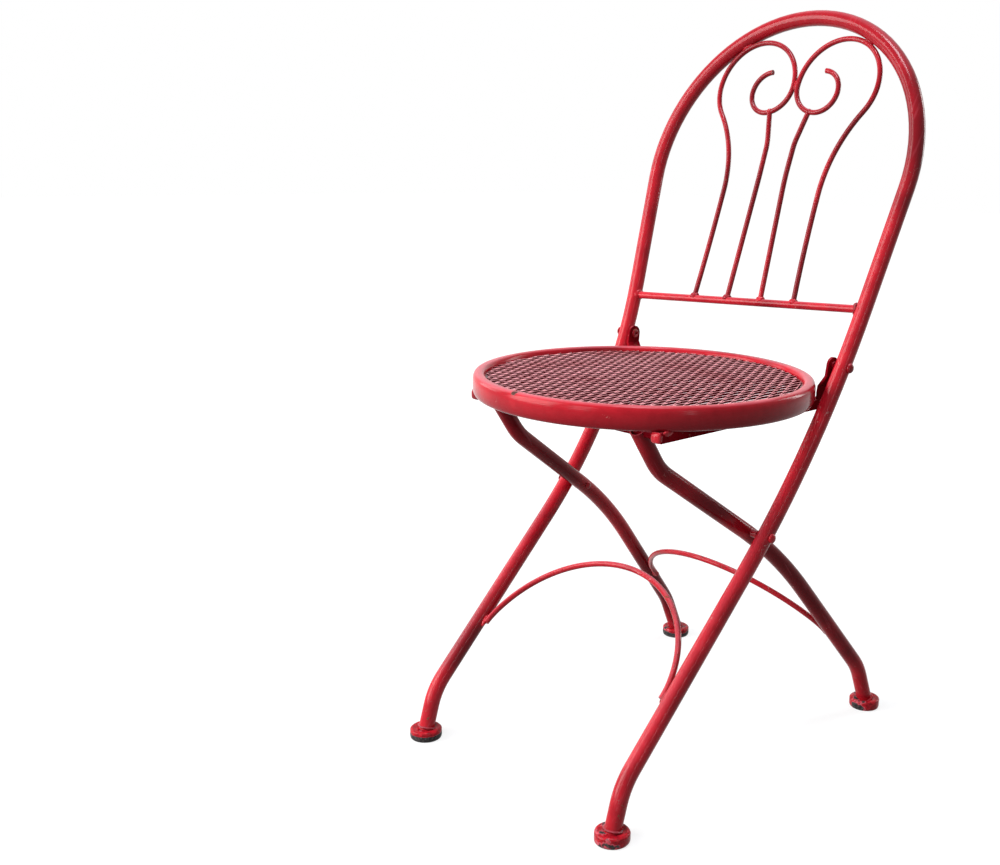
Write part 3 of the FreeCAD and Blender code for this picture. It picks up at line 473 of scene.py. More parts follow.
def make_mesh_enamel():
    """Painted highlight where a point's mark is high, and painted shade where it is low."""
    material, tree = fresh_material("enamel_mesh")
    place = add_node(tree, "ShaderNodeTexCoord").outputs["Object"]
    mark = add_node(tree, "ShaderNodeAttribute", {"attribute_name": "mark"}).outputs["Fac"]
    broad = noise(tree, place, MESH_BROAD_CLOUD, 3.0)
    fine = noise(tree, place, MESH_FINE_CLOUD, 4.0, 0.6)
    # High marks (crests and joints) take the enamel and a pale painted highlight; low marks take
    # painted shade.
    lit_top = ramp(tree, plus(tree, mark, times(tree, fine, MARK_UNEVEN)), 0.88, 1.06)
    painted_highlight = times(tree, lit_top, ramp(tree, broad, 0.08, 0.52))
    colour = blend_colour(tree, lit_top, MESH_SHADE, ENAMEL)
    colour = blend_colour(tree, times(tree, painted_highlight, MESH_HIGHLIGHT_SHARE), colour, MESH_HIGHLIGHT)
    speck = ramp(tree, noise(tree, place, SPECK_CLOUD, 3.0, 0.6), 0.640, 0.670)
    colour = blend_colour(tree, times(tree, speck, SPECK_SHARE), colour, PRIMER)
    rough = add_node(tree, "ShaderNodeMapRange", Value=fine, To_Min=MESH_ROUGHNESS_LEAST,
                     To_Max=MESH_ROUGHNESS_MOST).outputs[0]
    close_material(tree, colour, rough, fine, MESH_RELIEF_STRENGTH, MESH_PAINT_DEPTH, MESH_SHEEN)
    return material


mesh_enamel = make_mesh_enamel()
print("mesh enamel ready")

# %% [markdown]
# ## The finish of the caps
# The caps are dark plastic that somebody painted along with the legs. Two flat bands of colour
# would look like a label. Paint holds badly on plastic, so it comes off in ragged patches, most
# of all low on the wall, and more on one side of the chair than on the other.

# %% Mix the cap plastic
PLASTIC_DARK = (0.018, 0.016, 0.017, 1.0)
PLASTIC_SCUFFED = (0.090, 0.080, 0.078, 1.0)
CAP_BROAD_CLOUD, CAP_FINE_CLOUD = 34.0, 300.0
WALL_PAINTED, WALL_WORN = 0.0088, 0.0052
WORN_SIDE, KEPT_SIDE = -0.15, 0.10
WORN_MOST, WORN_LEAST, WORN_UNEVEN = 0.30, 0.06, 0.10
CAP_EDGE_SHARE = 0.5
PLASTIC_ROUGHNESS, CAP_FINE_ROUGHNESS = 0.28, 0.5
CAP_FINE_RELIEF, CAP_BARE_RELIEF = 0.5, 0.8
CAP_RELIEF_STRENGTH, CAP_PAINT_DEPTH, CAP_SHEEN = 0.5, 0.0004, 0.10


def make_cap_plastic():
    """Red paint over dark plastic, which shows where a cloud plus the wear is past a limit."""
    material, tree = fresh_material("painted_cap_plastic")
    place = add_node(tree, "ShaderNodeTexCoord").outputs["Object"]
    broad = noise(tree, place, CAP_BROAD_CLOUD, 4.0, 0.6)
    fine = noise(tree, place, CAP_FINE_CLOUD, 4.0, 0.6)
    worn_low = ramp(tree, along_axis(tree, place, 2), WALL_PAINTED, WALL_WORN)
    share = add_node(tree, "ShaderNodeMapRange", Value=along_axis(tree, place, 0),
                     From_Min=WORN_SIDE, From_Max=KEPT_SIDE, To_Min=WORN_MOST,
                     To_Max=WORN_LEAST).outputs[0]
    worn = plus(tree, broad, times(tree, worn_low, share))
    worn = plus(tree, worn, times(tree, fine, WORN_UNEVEN))
    bare = ramp(tree, worn, 0.655, 0.680)
    edge = math_node(tree, "SUBTRACT", ramp(tree, worn, 0.628, 0.648), bare, True)
    colour = blend_colour(tree, ramp(tree, fine, 0.35, 0.70), ENAMEL, ENAMEL_THICK_AND_SHADE)
    colour = blend_colour(tree, times(tree, edge, CAP_EDGE_SHARE), colour, ENAMEL_PALE_WEAR_AND_SHEEN)
    plastic = blend_colour(tree, ramp(tree, fine, 0.40, 0.72), PLASTIC_DARK, PLASTIC_SCUFFED)
    colour = blend_colour(tree, bare, colour, plastic)
    rough = plus(tree, times(tree, bare, PLASTIC_ROUGHNESS),
                 times(tree, fine, CAP_FINE_ROUGHNESS))
    height = math_node(tree, "SUBTRACT", times(tree, fine, CAP_FINE_RELIEF),
                       times(tree, bare, CAP_BARE_RELIEF))
    close_material(tree, colour, rough, height, CAP_RELIEF_STRENGTH, CAP_PAINT_DEPTH, CAP_SHEEN)
    return material


cap_plastic = make_cap_plastic()
print("cap plastic ready")

# %% [markdown]
# ## Paint the measured pieces
# Every piece of the measured model keeps its shape. Only its material changes, chosen by what the
# piece is: the hoop tube, the thin rods, the arches that get kicked, the seat rim that is sat on,
# and the plates and rails under the seat where the paint is thick and in the shade.

# %% Give each measured piece its coat
COATS = {
    "back_hoop_tube": frame_enamel, "back_cross_rail": frame_enamel, "scroll": rod_enamel,
    "inner_rod": rod_enamel, "front_arch": arch_enamel, "rear_arch": arch_enamel,
    "rear_leg": leg_enamel, "slide_rod": under_enamel, "seat_ring": rim_enamel,
    "seat_rail": under_enamel, "seat_bracket": under_enamel, "hinge": under_enamel,
    "cross": frame_enamel, "front_foot": frame_enamel, "rear_foot": leg_enamel,
    "seat_mesh": rim_enamel,
}


def paint(name, node):
    """Give a node the coat whose key its name starts with; the longest such key counts."""
    coat = next(COATS[key] for key in sorted(COATS, key=len, reverse=True) if name.startswith(key))
    if not node.material_slots:
        node.data.materials.append(coat)
    for slot in node.material_slots:
        slot.material = coat
    return coat.name


for node_name, node_object in sorted(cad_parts.items()):
    print(node_name, "->", paint(node_name, node_object))

# %% [markdown]
# ## Faces over a grid of points
# Everything that is added is a grid of points: rows along a path and columns around it. Its faces
# could be typed in by hand, but they only depend on how many rows and columns there are. A closed
# piece also needs its ends shut, by one flat face or by a fan of faces to a single point, a pole.

# %% Count out the faces
def grid_faces(rows, columns, ring_rows=False):
    """Four-sided faces over points counted row by row, where every row is a closed ring.

    With ring_rows the last row is joined to the first one too, as in a tyre.
    """
    joins = rows if ring_rows else rows - 1
    i, j = (index.ravel() for index in np.indices((joins, columns)))
    k, l = (i + 1) % rows, (j + 1) % columns
    return np.stack([i * columns + j, i * columns + l, k * columns + l, k * columns + j], 1)


def flat_ends(rows, columns):
    """One many-sided face over the first row, seen from the other side, and one over the last."""
    ring = np.arange(columns)
    return np.stack([ring[::-1], ring + (rows - 1) * columns])


def pole_fans(rows, columns):
    """Triangles from the first and the last row to two poles, which are counted after the grid."""
    ring = np.arange(columns)
    last = ring + (rows - 1) * columns
    pole = np.full(columns, rows * columns)
    return [np.stack([pole, np.roll(ring, -1), ring], 1),
            np.stack([pole + 1, last, np.roll(last, -1)], 1)]


print("a tube of 3 rings of 4 points has", len(grid_faces(3, 4)), "faces and 2 ends")

# %% [markdown]
# ## Put a surface into the scene
# Blender can take points one by one, which is slow, or a whole array at once. The helper below
# does the second. It turns the faces outwards first, by the sign of the volume they enclose, and
# lets the piece ride on the part of the chair it belongs to, so that it follows when that folds.

# %% Add a piece
def outward(points, faces):
    """Turn the faces over when their signed volume, a . (b x c) summed, is negative."""
    volume = 0.0
    for block in faces:
        for second in range(1, block.shape[1] - 1):
            a, b, c = points[block[:, 0]], points[block[:, second]], points[block[:, second + 1]]
            volume += float(np.einsum("ij,ij->", a, np.cross(b, c)))
    return faces if volume >= 0.0 else [block[:, ::-1] for block in faces]


def add_piece(name, parts, coat, body, replaces=(), sharp=None, mark=None):
    """Join closed parts (points in millimetres, faces) into one smooth piece riding on a body.

    sharp is the angle in degrees from which an edge is left hard, and mark is one number for
    each point, which the coat can read as the attribute of that name.
    """
    all_points, all_faces, first = [], [], 0
    for points, faces in parts:
        points = np.asarray(points, dtype=np.float64).reshape(-1, 3) / 1000.0
        all_faces += [block + first for block in outward(points, faces)]
        all_points.append(points)
        first += len(points)
    points = np.concatenate(all_points)
    corners = np.concatenate([block.ravel() for block in all_faces]).astype(np.int32)
    sizes = np.concatenate([np.full(len(block), block.shape[1]) for block in all_faces])
    mesh = bpy.data.meshes.new(name)
    mesh.vertices.add(len(points))
    mesh.vertices.foreach_set("co", points.astype(np.float32).ravel())
    mesh.loops.add(len(corners))
    mesh.loops.foreach_set("vertex_index", corners)
    mesh.polygons.add(len(sizes))
    mesh.polygons.foreach_set("loop_start", (np.cumsum(sizes) - sizes).astype(np.int32))
    mesh.update(calc_edges=True)
    mesh.polygons.foreach_set("use_smooth", np.ones(len(sizes), dtype=bool))
    if sharp:
        mesh.set_sharp_from_angle(angle=math.radians(sharp))
    if mark is not None:
        layer = mesh.attributes.new("mark", "FLOAT", "POINT")
        layer.data.foreach_set("value", mark.astype(np.float32))
    mesh.materials.append(coat)
    made = bpy.data.objects.new(name, mesh)
    bpy.context.scene.collection.objects.link(made)
    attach(made, body)
    for old in replaces:
        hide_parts(old)
    print(name, len(points), "points,", int((sizes - 2).sum()), "triangles")


print("ready to add pieces")

# %% [markdown]
# ## Outlines that are not quite round
# Rolled and cut metal is seldom a true oval. Its sections lie somewhere between an oval and a box,
# which one power of the sine and cosine can say. And nothing made by hand is even, so what goes
# round a piece gets a few slow waves, each started at a random but repeatable place.

# %% Shape outlines
def full_turn(count):
    """Angles of count places spread evenly round a circle."""
    return np.linspace(0.0, 2.0 * math.pi, count, endpoint=False)


def squared_oval(half_wide, half_high, power, count):
    """Outline of half a width times the cosine and half a height times the sine, to a power.

    A power of one is an oval, and the smaller it is, the nearer the outline comes to its box.
    """
    across, up = np.cos(full_turn(count)), np.sin(full_turn(count))
    return (half_wide * np.sign(across) * np.abs(across) ** power,
            half_high * np.sign(up) * np.abs(up) ** power)


def waves(turn, random, shapes):
    """Sum of height * sin(count * angle + a random start) over pairs of height and count."""
    return sum(height * np.sin(count * turn + random.uniform(0, 6)) for height, count in shapes)


print("outline helpers ready")

# %% [markdown]
# ## The rolled rim
# The rim is a flat tube rolled round a former, which leaves its faces slightly crowned. A bevel
# would round only the corners of the measured ring and leave the wall dead flat. A turned outline
# whose sides swell shades softly from top to bottom, and it wavers slowly on the way round.

# %% Roll the rim
RIM_CENTRE = np.array([0.0, -41.492, 437.0])
RIM_LINE = 190.0
RIM_HALF_WIDE, RIM_HALF_HIGH = 7.5, 13.0
RIM_SQUARENESS = 3.3
RIM_TURNS, RIM_AROUND = 320, 64
SLOW_WAVER, QUICK_WAVER, SLOW_WAVER_START = 0.006, 0.004, 0.7


def rolled_rim():
    """A ring whose section is |x / a| to the power n plus |z / b| to the power n equals one."""
    turn = full_turn(RIM_TURNS)
    wide, high = squared_oval(RIM_HALF_WIDE, RIM_HALF_HIGH, 2.0 / RIM_SQUARENESS, RIM_AROUND)
    shrink = 1.0 - SLOW_WAVER * (1.0 + np.sin(3 * turn + SLOW_WAVER_START)) \
        - QUICK_WAVER * (1.0 + np.sin(11 * turn))
    r = RIM_LINE + shrink[:, None] * wide
    x, y = r * np.cos(turn)[:, None], r * np.sin(turn)[:, None]
    z = np.repeat(high[None, :], RIM_TURNS, 0)
    points = np.stack([x, y, z], 2) + RIM_CENTRE
    return points, [grid_faces(RIM_TURNS, RIM_AROUND, ring_rows=True)]


add_piece("rolled_seat_rim", [rolled_rim()], rim_enamel, "seat", ["seat_ring"])

# %% [markdown]
# ## The expanded metal of the seat
# A sheet is slit and pulled, so each strand runs front to back in a zigzag and touches its left
# and its right neighbour in turn. A picture of diamonds would look flat from a low view, and holes
# cut in a plate would miss the twist, which catches the light. So each strand is swept: a wave
# with short flats where it is joined, a rounded section tilted the way the slitting leaves it.

# %% Measure the mesh
SEAT_MIDDLE = np.array([0.0, -41.25, 444.2])
MESH_RADIUS = 182.3
STRAND_END_IN, LAST_STRAND_IN = 2.6, 3.5
ROW_STEP, DIAMOND_LONG, ZIGZAG_STRETCH = 5.65, 32.0, 1.32
STRAND_WIDE, STRAND_THICK, STRAND_ROUND = 2.85, 1.15, 0.6
STRAND_TILT, TILT_SPREAD = math.radians(40.0), 0.05
WEAVE_TURN = math.radians(8.0)
SHEET_WAVE_HIGH, SHEET_WAVE_LONG, LIFT_SPREAD = 0.10, 41.0, 0.04
JOINT_STARTS, JOINT_MARK = 0.80, 0.30
ALONG_SAMPLES, AROUND = 128, 8
ROWS = int((MESH_RADIUS - LAST_STRAND_IN) // ROW_STEP)


def strand_wave(along, odd):
    """Zigzag between plus and minus one: a triangle wave stretched and clipped to short flats."""
    phase = along / DIAMOND_LONG + (0.5 if odd else 0.0)
    triangle = 4.0 * np.abs(phase - np.floor(phase + 0.5)) - 1.0
    return np.clip(ZIGZAG_STRETCH * triangle, -1.0, 1.0)


def ramp_up(value, low, high):
    """How far the value has come from low to high, held between nought and one."""
    return np.clip((value - low) / (high - low), 0.0, 1.0)


print(2 * ROWS + 1, "strands")

# %% [markdown]
# ## Strand beside strand
# One strand could be copied along the seat, but it has to get shorter towards the sides, and real
# strands are never quite level or alike. So each is made for its own row: half a diamond on from
# its neighbour, a touch higher or lower, a touch more or less tilted, and cut to the rim.

# %% Weave the seat
weave_random = np.random.default_rng(17)


def strand(row):
    """One strand: its centre line, its tilted oval section, a cap at each end, and its mark.

    The mark is the height within the section as a share of the highest point, more at the joints.
    """
    across = row * ROW_STEP
    half = math.sqrt(max(MESH_RADIUS ** 2 - (abs(across) + STRAND_END_IN) ** 2, 1.0))
    along = np.linspace(-half, half, ALONG_SAMPLES)
    zigzag = strand_wave(along, row % 2)
    side = across + 0.5 * (ROW_STEP - STRAND_WIDE) * zigzag
    lift = SHEET_WAVE_HIGH * np.sin(along / SHEET_WAVE_LONG + row)
    lift = lift + weave_random.normal(0.0, LIFT_SPREAD)
    wide, high = squared_oval(0.5 * STRAND_WIDE, 0.5 * STRAND_THICK, STRAND_ROUND, AROUND)
    tilt = STRAND_TILT + weave_random.normal(0.0, TILT_SPREAD)
    off_x = wide * math.cos(tilt) + high * math.sin(tilt)
    off_z = -wide * math.sin(tilt) + high * math.cos(tilt)
    x = side[:, None] + off_x
    y = np.repeat(along[:, None], AROUND, 1)
    z = lift[:, None] + off_z
    c, s = math.cos(WEAVE_TURN), math.sin(WEAVE_TURN)
    points = np.stack([c * x - s * y, s * x + c * y, z], 2) + SEAT_MIDDLE
    joined = ramp_up(np.abs(zigzag), JOINT_STARTS, 1.0)
    mark = off_z / np.abs(off_z).max() + JOINT_MARK * joined[:, None]
    faces = [grid_faces(ALONG_SAMPLES, AROUND), flat_ends(ALONG_SAMPLES, AROUND)]
    return points.reshape(-1, 3), faces, mark.ravel()


strands = [strand(row) for row in range(-ROWS, ROWS + 1)]
strand_marks = np.concatenate([mark for points, faces, mark in strands])
add_piece("woven_seat", [(points, faces) for points, faces, mark in strands], mesh_enamel, "seat",
          ["seat_mesh"], mark=strand_marks)

# %% [markdown]
# ## Weld beads
# Where a rod stands on another, the weld is a collar that rises up the rod and spreads over what
# it stands on. A plain ring would float or sink on a round tube, so the collar follows the saddle
# of the tube below it. Each is rippled and swollen differently, since they were made by hand.

# %% Shape a collar of weld
COLLAR_AROUND, COLLAR_OUT = 44, 9
COLLAR_BULGE, COLLAR_FLARE = 0.75, 1.15
COLLAR_WAVES = ((0.16, 2), (0.08, 5), (0.05, 13))
IN_THE_ROD, IN_THE_TUBE = 0.25, 0.12
HIDDEN_OUTER_SHARE, HIDDEN_OUTER_DEEP = 0.45, 0.7
HIDDEN_INNER_IN, HIDDEN_INNER_DEEP = 0.5, 0.5
SADDLE_REACH = 0.985
weld_random = np.random.default_rng(5)


def square_axes(first, second):
    """Three directions of length one: the first, the second squared up to it, and their cross."""
    first = np.asarray(first, dtype=np.float64)
    first = first / np.linalg.norm(first)
    second = np.asarray(second) - np.dot(second, first) * first
    second = second / np.linalg.norm(second)
    return first, second, np.cross(first, second)


def collar(place, up, along, rod, host, spread, rise):
    """Closed ring round a rod of radius rod, standing on a tube of radius host lying along a line.

    At distance d from the rod's axis and angle a from the tube's line the saddle lies
    sqrt(host^2 - (d sin a)^2) - host below the crown. The collar's outline is a bulge from the
    rod, rise above the saddle, out to spread, and two hidden rings below the surface close it.
    A flat host is a tube of a very large radius.
    """
    up, along, side = square_axes(up, along)
    angle = full_turn(COLLAR_AROUND)
    quarter = 0.5 * math.pi * np.linspace(0.0, 1.0, COLLAR_OUT)
    swell = (1.0 + waves(angle, weld_random, COLLAR_WAVES))[:, None]
    out = np.sin(quarter) ** COLLAR_FLARE * spread - IN_THE_ROD
    height = rise * np.cos(quarter) ** COLLAR_BULGE * swell - IN_THE_TUBE
    ring = np.ones((COLLAR_AROUND, 1))
    distance = np.concatenate([rod + out * swell, (rod + HIDDEN_OUTER_SHARE * spread) * ring,
                               (rod - HIDDEN_INNER_IN) * ring], 1)
    height = np.concatenate([height, -HIDDEN_OUTER_DEEP * ring, -HIDDEN_INNER_DEEP * ring], 1)
    across = np.minimum(np.abs(distance * np.sin(angle)[:, None]), SADDLE_REACH * host)
    saddle = np.sqrt(host ** 2 - across ** 2) - host
    points = (np.asarray(place)
              + distance[:, :, None] * (np.cos(angle)[:, None, None] * along
                                        + np.sin(angle)[:, None, None] * side)
              + (height + saddle)[:, :, None] * up)
    return points, [grid_faces(COLLAR_AROUND, COLLAR_OUT + 2, ring_rows=True)]


print("collar shape ready")

# %% [markdown]
# ## Lumps of weld
# Where two rods only touch side by side, the weld is a lump in the corner between them. A squashed
# ball would look like a pea, so its radius wavers, and three lengths along three directions stretch
# it along the joint.

# %% Shape a lump of weld
LUMP_ROWS, LUMP_AROUND = 13, 20
LUMP_ROUGHNESS = 0.12


def blob(place, axes, radii):
    """Oval along three axes, in polar and turning angle, whose radius wavers by slow waves."""
    place = np.asarray(place, dtype=np.float64)
    first, second, third = square_axes(*axes)
    polar = np.linspace(0.0, math.pi, LUMP_ROWS + 2)[1:-1, None]
    turn = full_turn(LUMP_AROUND)
    a, b, c = np.cos(polar) + 0 * turn, np.sin(polar) * np.cos(turn), np.sin(polar) * np.sin(turn)
    waver = np.sin(2.6 * a + weld_random.uniform(0, 6)) * np.cos(2.2 * b)
    waver = waver + 0.6 * np.sin(4.1 * c + 3.0 * a + weld_random.uniform(0, 6))
    size = 1.0 + LUMP_ROUGHNESS * waver
    points = (place + (a * radii[0] * size)[..., None] * first
              + (b * radii[1] * size)[..., None] * second
              + (c * radii[2] * size)[..., None] * third).reshape(-1, 3)
    poles = place + np.array([[radii[0]], [-radii[0]]]) * first
    faces = [grid_faces(LUMP_ROWS, LUMP_AROUND), *pole_fans(LUMP_ROWS, LUMP_AROUND)]
    return np.concatenate([points, poles]), faces


print("lump shape ready")

# %% [markdown]
# ## Where the frame was welded
# The collars and lumps sit where rods meet: the feet of the scroll rods on the cross rail, the
# rail on the hoop, the loops where they touch the hoop and each other, the arch ends on the legs
# and the legs on their foot discs. The back leans, so its places are counted in its own plane.

# %% Weld the back frame
LEAN = math.radians(19.2)
HOOP_MIDDLE = np.array([0.0, 188.42, 682.5])
BACK_UP = np.array([0.0, math.sin(LEAN), math.cos(LEAN)])
BACK_OUT = np.array([0.0, -math.cos(LEAN), math.sin(LEAN)])
ACROSS = np.array([1.0, 0.0, 0.0])
ROD, RAIL, TUBE = 3.25, 4.75, 9.5
RAIL_DROP, RAIL_SLOPE = 172.6, 0.0507
RODS_ON_RAIL = (79.1, -73.7, 30.0, -21.2)
RAIL_ON_HOOP = 167.5
LOOP_ON_HOOP_X, LOOP_ON_HOOP_Y = 92.0, 159.1
INNER_ROD_ON_CURL_X, INNER_ROD_ON_CURL_Y = 29.7, 72.2
LOOPS_MEET_Y = 106.0
FRONT_ARCH_END, FRONT_ARCH_LINE = (148.6, -156.2, 129.3), (0.0, 0.772, 0.636)
FRONT_LEG_END, FRONT_LEG_UP = (158.0, -241.1, 12.1), (0.0, 0.28, 0.96)
FLAT = 400.0


def on_side(place, side):
    """A place on the left, or its mirror image on the right where side is minus one."""
    return side * place[0], place[1], place[2]


def in_back(x, y):
    """A place in the plane of the back, counted from the middle of the hoop."""
    return HOOP_MIDDLE + x * ACROSS + y * BACK_UP


def rail_middle(x):
    """Height of the middle of the cross rail at x; the rail is a little higher on one side."""
    return RAIL_SLOPE * x - RAIL_DROP


frame_welds = [collar(in_back(x, rail_middle(x) + RAIL), BACK_UP, ACROSS, ROD, RAIL,
                      spread=2.6, rise=3.0) for x in RODS_ON_RAIL]
for side in (1.0, -1.0):
    rail_end = in_back(side * RAIL_ON_HOOP, rail_middle(side * RAIL_ON_HOOP))
    frame_welds.append(collar(rail_end, -side * ACROSS, BACK_UP, RAIL, TUBE, spread=3.0, rise=3.2))
    hoop_line = -side * LOOP_ON_HOOP_Y * ACROSS + LOOP_ON_HOOP_X * BACK_UP
    frame_welds.append(blob(in_back(side * LOOP_ON_HOOP_X, LOOP_ON_HOOP_Y),
                            (hoop_line, BACK_OUT), radii=(7.5, 3.4, 2.6)))
    frame_welds.append(blob(in_back(side * INNER_ROD_ON_CURL_X, INNER_ROD_ON_CURL_Y),
                            (BACK_UP, ACROSS), radii=(4.2, 3.9, 3.8)))
    frame_welds.append(blob(on_side(FRONT_ARCH_END, side), (FRONT_ARCH_LINE, ACROSS),
                            radii=(8.5, 3.2, 3.6)))
    frame_welds.append(collar(on_side(FRONT_LEG_END, side), FRONT_LEG_UP, ACROSS, TUBE, FLAT,
                              spread=2.2, rise=2.0))
frame_welds.append(blob(in_back(0.0, LOOPS_MEET_Y), (BACK_UP, ACROSS), radii=(6.0, 2.4, 2.9)))
add_piece("frame_welds", frame_welds, weld_enamel, "back_frame")

# %% [markdown]
# ## Where the rear legs were welded
# The rear arch and the foot discs are welded on in the same way. They could share one piece with
# the welds of the frame, but the rear legs turn about the crossing when the chair folds, so what
# is welded to them has to ride with them.

# %% Weld the rear legs
REAR_ARCH_END, REAR_ARCH_LINE = (146.9, 154.6, 117.4), (0.0, -0.708, 0.706)
REAR_LEG_END, REAR_LEG_UP = (164.0, 224.3, 12.1), (0.0, -0.42, 0.91)
leg_welds = []
for side in (1.0, -1.0):
    leg_welds.append(blob(on_side(REAR_ARCH_END, side), (REAR_ARCH_LINE, ACROSS),
                          radii=(8.0, 3.2, 3.6)))
    leg_welds.append(collar(on_side(REAR_LEG_END, side), REAR_LEG_UP, ACROSS, TUBE, FLAT,
                            spread=2.2, rise=2.0))
add_piece("rear_leg_welds", leg_welds, weld_enamel, "rear_legs")

# %% [markdown]
# ## Where the rails were welded to the rim
# Each seat rail is welded to the rim near its front and its back, and its front end is rounded,
# where the measured rail is square. A ball would stand out past the flat sides of the rail, so
# the nose is half a rounded box, about as wide and as high as the rail.

# %% Weld the seat rails to the rim
NOSE_PLACE = (142.0, -173.6, 418.2)
NOSE_HALF_WIDE, NOSE_HALF_HIGH, NOSE_POWER = 6.75, 6.0, 0.5
NOSE_LONG, NOSE_STRAIGHT, NOSE_ROUNDNESS = 5.2, 1.6, 2.3
NOSE_ROWS, NOSE_AROUND = 12, 40
NEARLY_QUARTER = 1.54
FRONT_SEAM, BACK_SEAM = (148.9, -166.0, 422.6), (149.2, 84.0, 421.5)
FRONT_TO_BACK = (0.0, 1.0, 0.0)


def nose(place):
    """Half a rounded box that closes the front end of a rail, flat behind and round ahead.

    With s the share of the round part, its section shrinks by (1 - s^n) to the power 1 / n.
    """
    round_part = NOSE_LONG - NOSE_STRAIGHT
    reach = np.sin(np.linspace(0.0, NEARLY_QUARTER, NOSE_ROWS))
    ahead = np.concatenate([[0.0], NOSE_STRAIGHT + round_part * reach])[:, None]
    share = ramp_up(ahead, NOSE_STRAIGHT, NOSE_LONG)
    scale = (1.0 - share ** NOSE_ROUNDNESS) ** (1.0 / NOSE_ROUNDNESS)
    wide, high = squared_oval(NOSE_HALF_WIDE, NOSE_HALF_HIGH, NOSE_POWER, NOSE_AROUND)
    y = np.repeat(place[1] - ahead, NOSE_AROUND, 1)
    points = np.stack([place[0] + scale * wide, y, place[2] + scale * high], 2).reshape(-1, 3)
    return points, [grid_faces(NOSE_ROWS + 1, NOSE_AROUND), flat_ends(NOSE_ROWS + 1, NOSE_AROUND)]


seat_welds = []
for side in (1.0, -1.0):
    seat_welds.append(nose(on_side(NOSE_PLACE, side)))
    seat_welds.append(blob(on_side(FRONT_SEAM, side), (FRONT_TO_BACK, ACROSS),
                           radii=(7.0, 2.6, 3.2)))
    seat_welds.append(blob(on_side(BACK_SEAM, side), (FRONT_TO_BACK, ACROSS),
                           radii=(11.0, 2.3, 2.8)))
add_piece("seat_welds", seat_welds, weld_enamel, "seat")

# %% [markdown]
# ## Rivets
# The hinge rivets are hollow: the tail inside is rolled back over a hole, and the head outside is
# a low dome. The crossing rivets are solid, with a tail hammered nearly flush into the tube. Both
# are spun from an outline along the axis they turn on, which a plain cylinder would lose.

# %% Spin the rivets
HINGE_OUTLINE = np.array([
    (156.6, 0.0), (156.6, 1.7), (153.8, 1.9), (153.1, 2.5), (152.85, 3.5), (153.1, 4.7),
    (153.9, 5.6), (154.9, 5.9), (155.45, 5.7), (155.7, 2.95), (180.6, 2.95), (180.9, 5.7),
    (181.6, 5.98), (182.8, 5.6), (184.0, 4.5), (184.8, 2.9), (185.1, 1.3), (185.18, 0.0)])
CROSS_OUTLINE = np.array([
    (119.6, 0.0), (119.7, 1.6), (120.0, 3.0), (120.5, 4.0), (121.3, 4.3), (121.6, 2.95),
    (169.4, 2.95), (169.7, 5.7), (170.3, 5.98), (171.3, 5.6), (172.4, 4.5), (173.1, 2.9),
    (173.45, 1.3), (173.53, 0.0)])
HINGE_AXIS, CROSS_AXIS = (108.543, 463.0), (-7.624, 281.5)
RIVET_SIDES = 40
RIVET_SLACK = 0.03
RIVET_WAVES = ((0.02, 2), (0.015, 3))
rivet_random = np.random.default_rng(41)


def rivet(outline, side, axis):
    """A spun outline of places along x and radii; slow waves make the head a little uneven."""
    turn = full_turn(RIVET_SIDES)
    along, radius = outline[1:-1, :1], outline[1:-1, 1:]
    r = radius * (1.0 - RIVET_SLACK + waves(turn, rivet_random, RIVET_WAVES))
    x = np.repeat(side * along, RIVET_SIDES, 1)
    y, z = axis[0] + r * np.cos(turn), axis[1] + r * np.sin(turn)
    poles = np.array([[side * outline[0, 0], *axis], [side * outline[-1, 0], *axis]])
    points = np.concatenate([np.stack([x, y, z], 2).reshape(-1, 3), poles])
    rows = len(radius)
    return points, [grid_faces(rows, RIVET_SIDES), *pole_fans(rows, RIVET_SIDES)]


for word, side in (("left", 1.0), ("right", -1.0)):
    add_piece("rolled_hinge_rivet_" + word, [rivet(HINGE_OUTLINE, side, HINGE_AXIS)],
              rivet_enamel, "back_frame", ["hinge_rivet_" + word], sharp=55)
    add_piece("domed_cross_rivet_" + word, [rivet(CROSS_OUTLINE, side, CROSS_AXIS)],
              rivet_enamel, "back_frame", ["cross_rivet_" + word], sharp=55)

# %% [markdown]
# ## Plastic foot caps
# Each cap is a turned shape: a worn sole, a bulged wall and a rounded lip that closes round the
# leg. It could be one lathe outline spun evenly, but the caps have been stood on for years, so the
# wall is dented by slow waves, and a moulding seam stands up on one side.

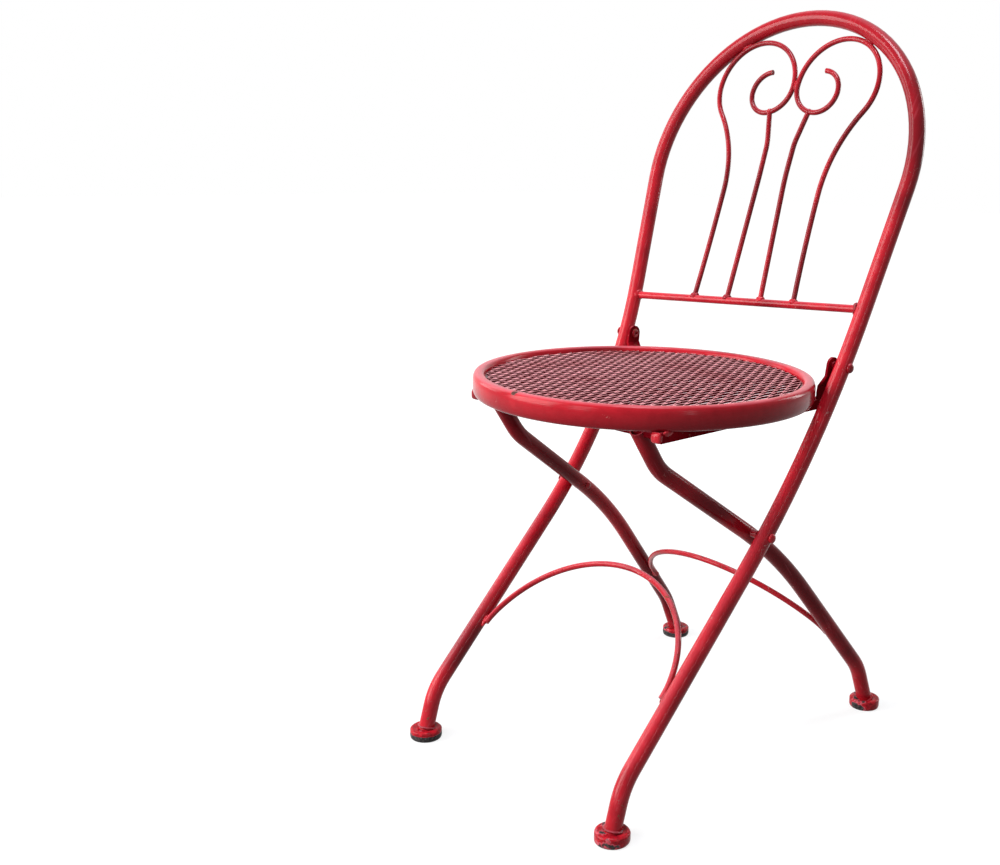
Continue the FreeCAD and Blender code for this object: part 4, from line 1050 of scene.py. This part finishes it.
# %% Turn the foot caps
CAP_OUTLINE = np.array([
    (0.0, 0.40), (9.0, 0.25), (16.0, 0.02), (18.2, 0.35), (19.0, 1.2), (19.35, 2.6), (19.5, 4.5),
    (19.42, 6.6), (19.35, 8.6), (19.45, 10.0), (19.1, 11.1), (18.3, 11.9), (17.2, 12.35),
    (15.8, 12.5), (14.0, 12.35), (12.2, 12.0), (10.8, 11.9), (9.0, 12.0), (0.0, 12.0)])
CAP_SIDES = 72
WALL_FROM_RADIUS, WALL_FROM_HEIGHT = 18.0, 0.5
WALL_SLACK = 0.26
WALL_WAVES = ((0.16, 3), (0.10, 7))
SEAM_HIGH, SEAM_WIDE = 0.30, 0.035
FRONT_CAP, FRONT_CAP_SEAM = (158.0, -241.99), -0.66
REAR_CAP, REAR_CAP_SEAM = (164.0, 225.51), 2.3
cap_random = np.random.default_rng(29)


def foot_cap(side, place, seam):
    """A spun outline whose wall wavers, with a ridge at the seam, and closed at both poles."""
    middle = (side * place[0], place[1])
    radius, height = CAP_OUTLINE[1:-1, :1], CAP_OUTLINE[1:-1, 1:]
    turn = full_turn(CAP_SIDES)
    wall = (radius > WALL_FROM_RADIUS) & (height > WALL_FROM_HEIGHT)
    dent = waves(turn, cap_random, WALL_WAVES) - WALL_SLACK
    apart = np.angle(np.exp(1j * (turn - seam)))
    ridge = SEAM_HIGH * np.exp(-(apart / SEAM_WIDE) ** 2)
    r = radius + wall * (dent + ridge)
    x, y = middle[0] + r * np.cos(turn), middle[1] + r * np.sin(turn)
    z = np.repeat(height, CAP_SIDES, 1)
    poles = np.array([[*middle, CAP_OUTLINE[0, 1]], [*middle, CAP_OUTLINE[-1, 1]]])
    points = np.concatenate([np.stack([x, y, z], 2).reshape(-1, 3), poles])
    rows = len(radius)
    return points, [grid_faces(rows, CAP_SIDES), *pole_fans(rows, CAP_SIDES)]


for word, side in (("left", 1.0), ("right", -1.0)):
    add_piece("worn_front_cap_" + word, [foot_cap(side, FRONT_CAP, FRONT_CAP_SEAM)], cap_plastic,
              "back_frame", ["front_foot_cap_" + word], sharp=50)
    add_piece("worn_rear_cap_" + word, [foot_cap(side, REAR_CAP, REAR_CAP_SEAM)], cap_plastic,
              "rear_legs", ["rear_foot_cap_" + word], sharp=50)
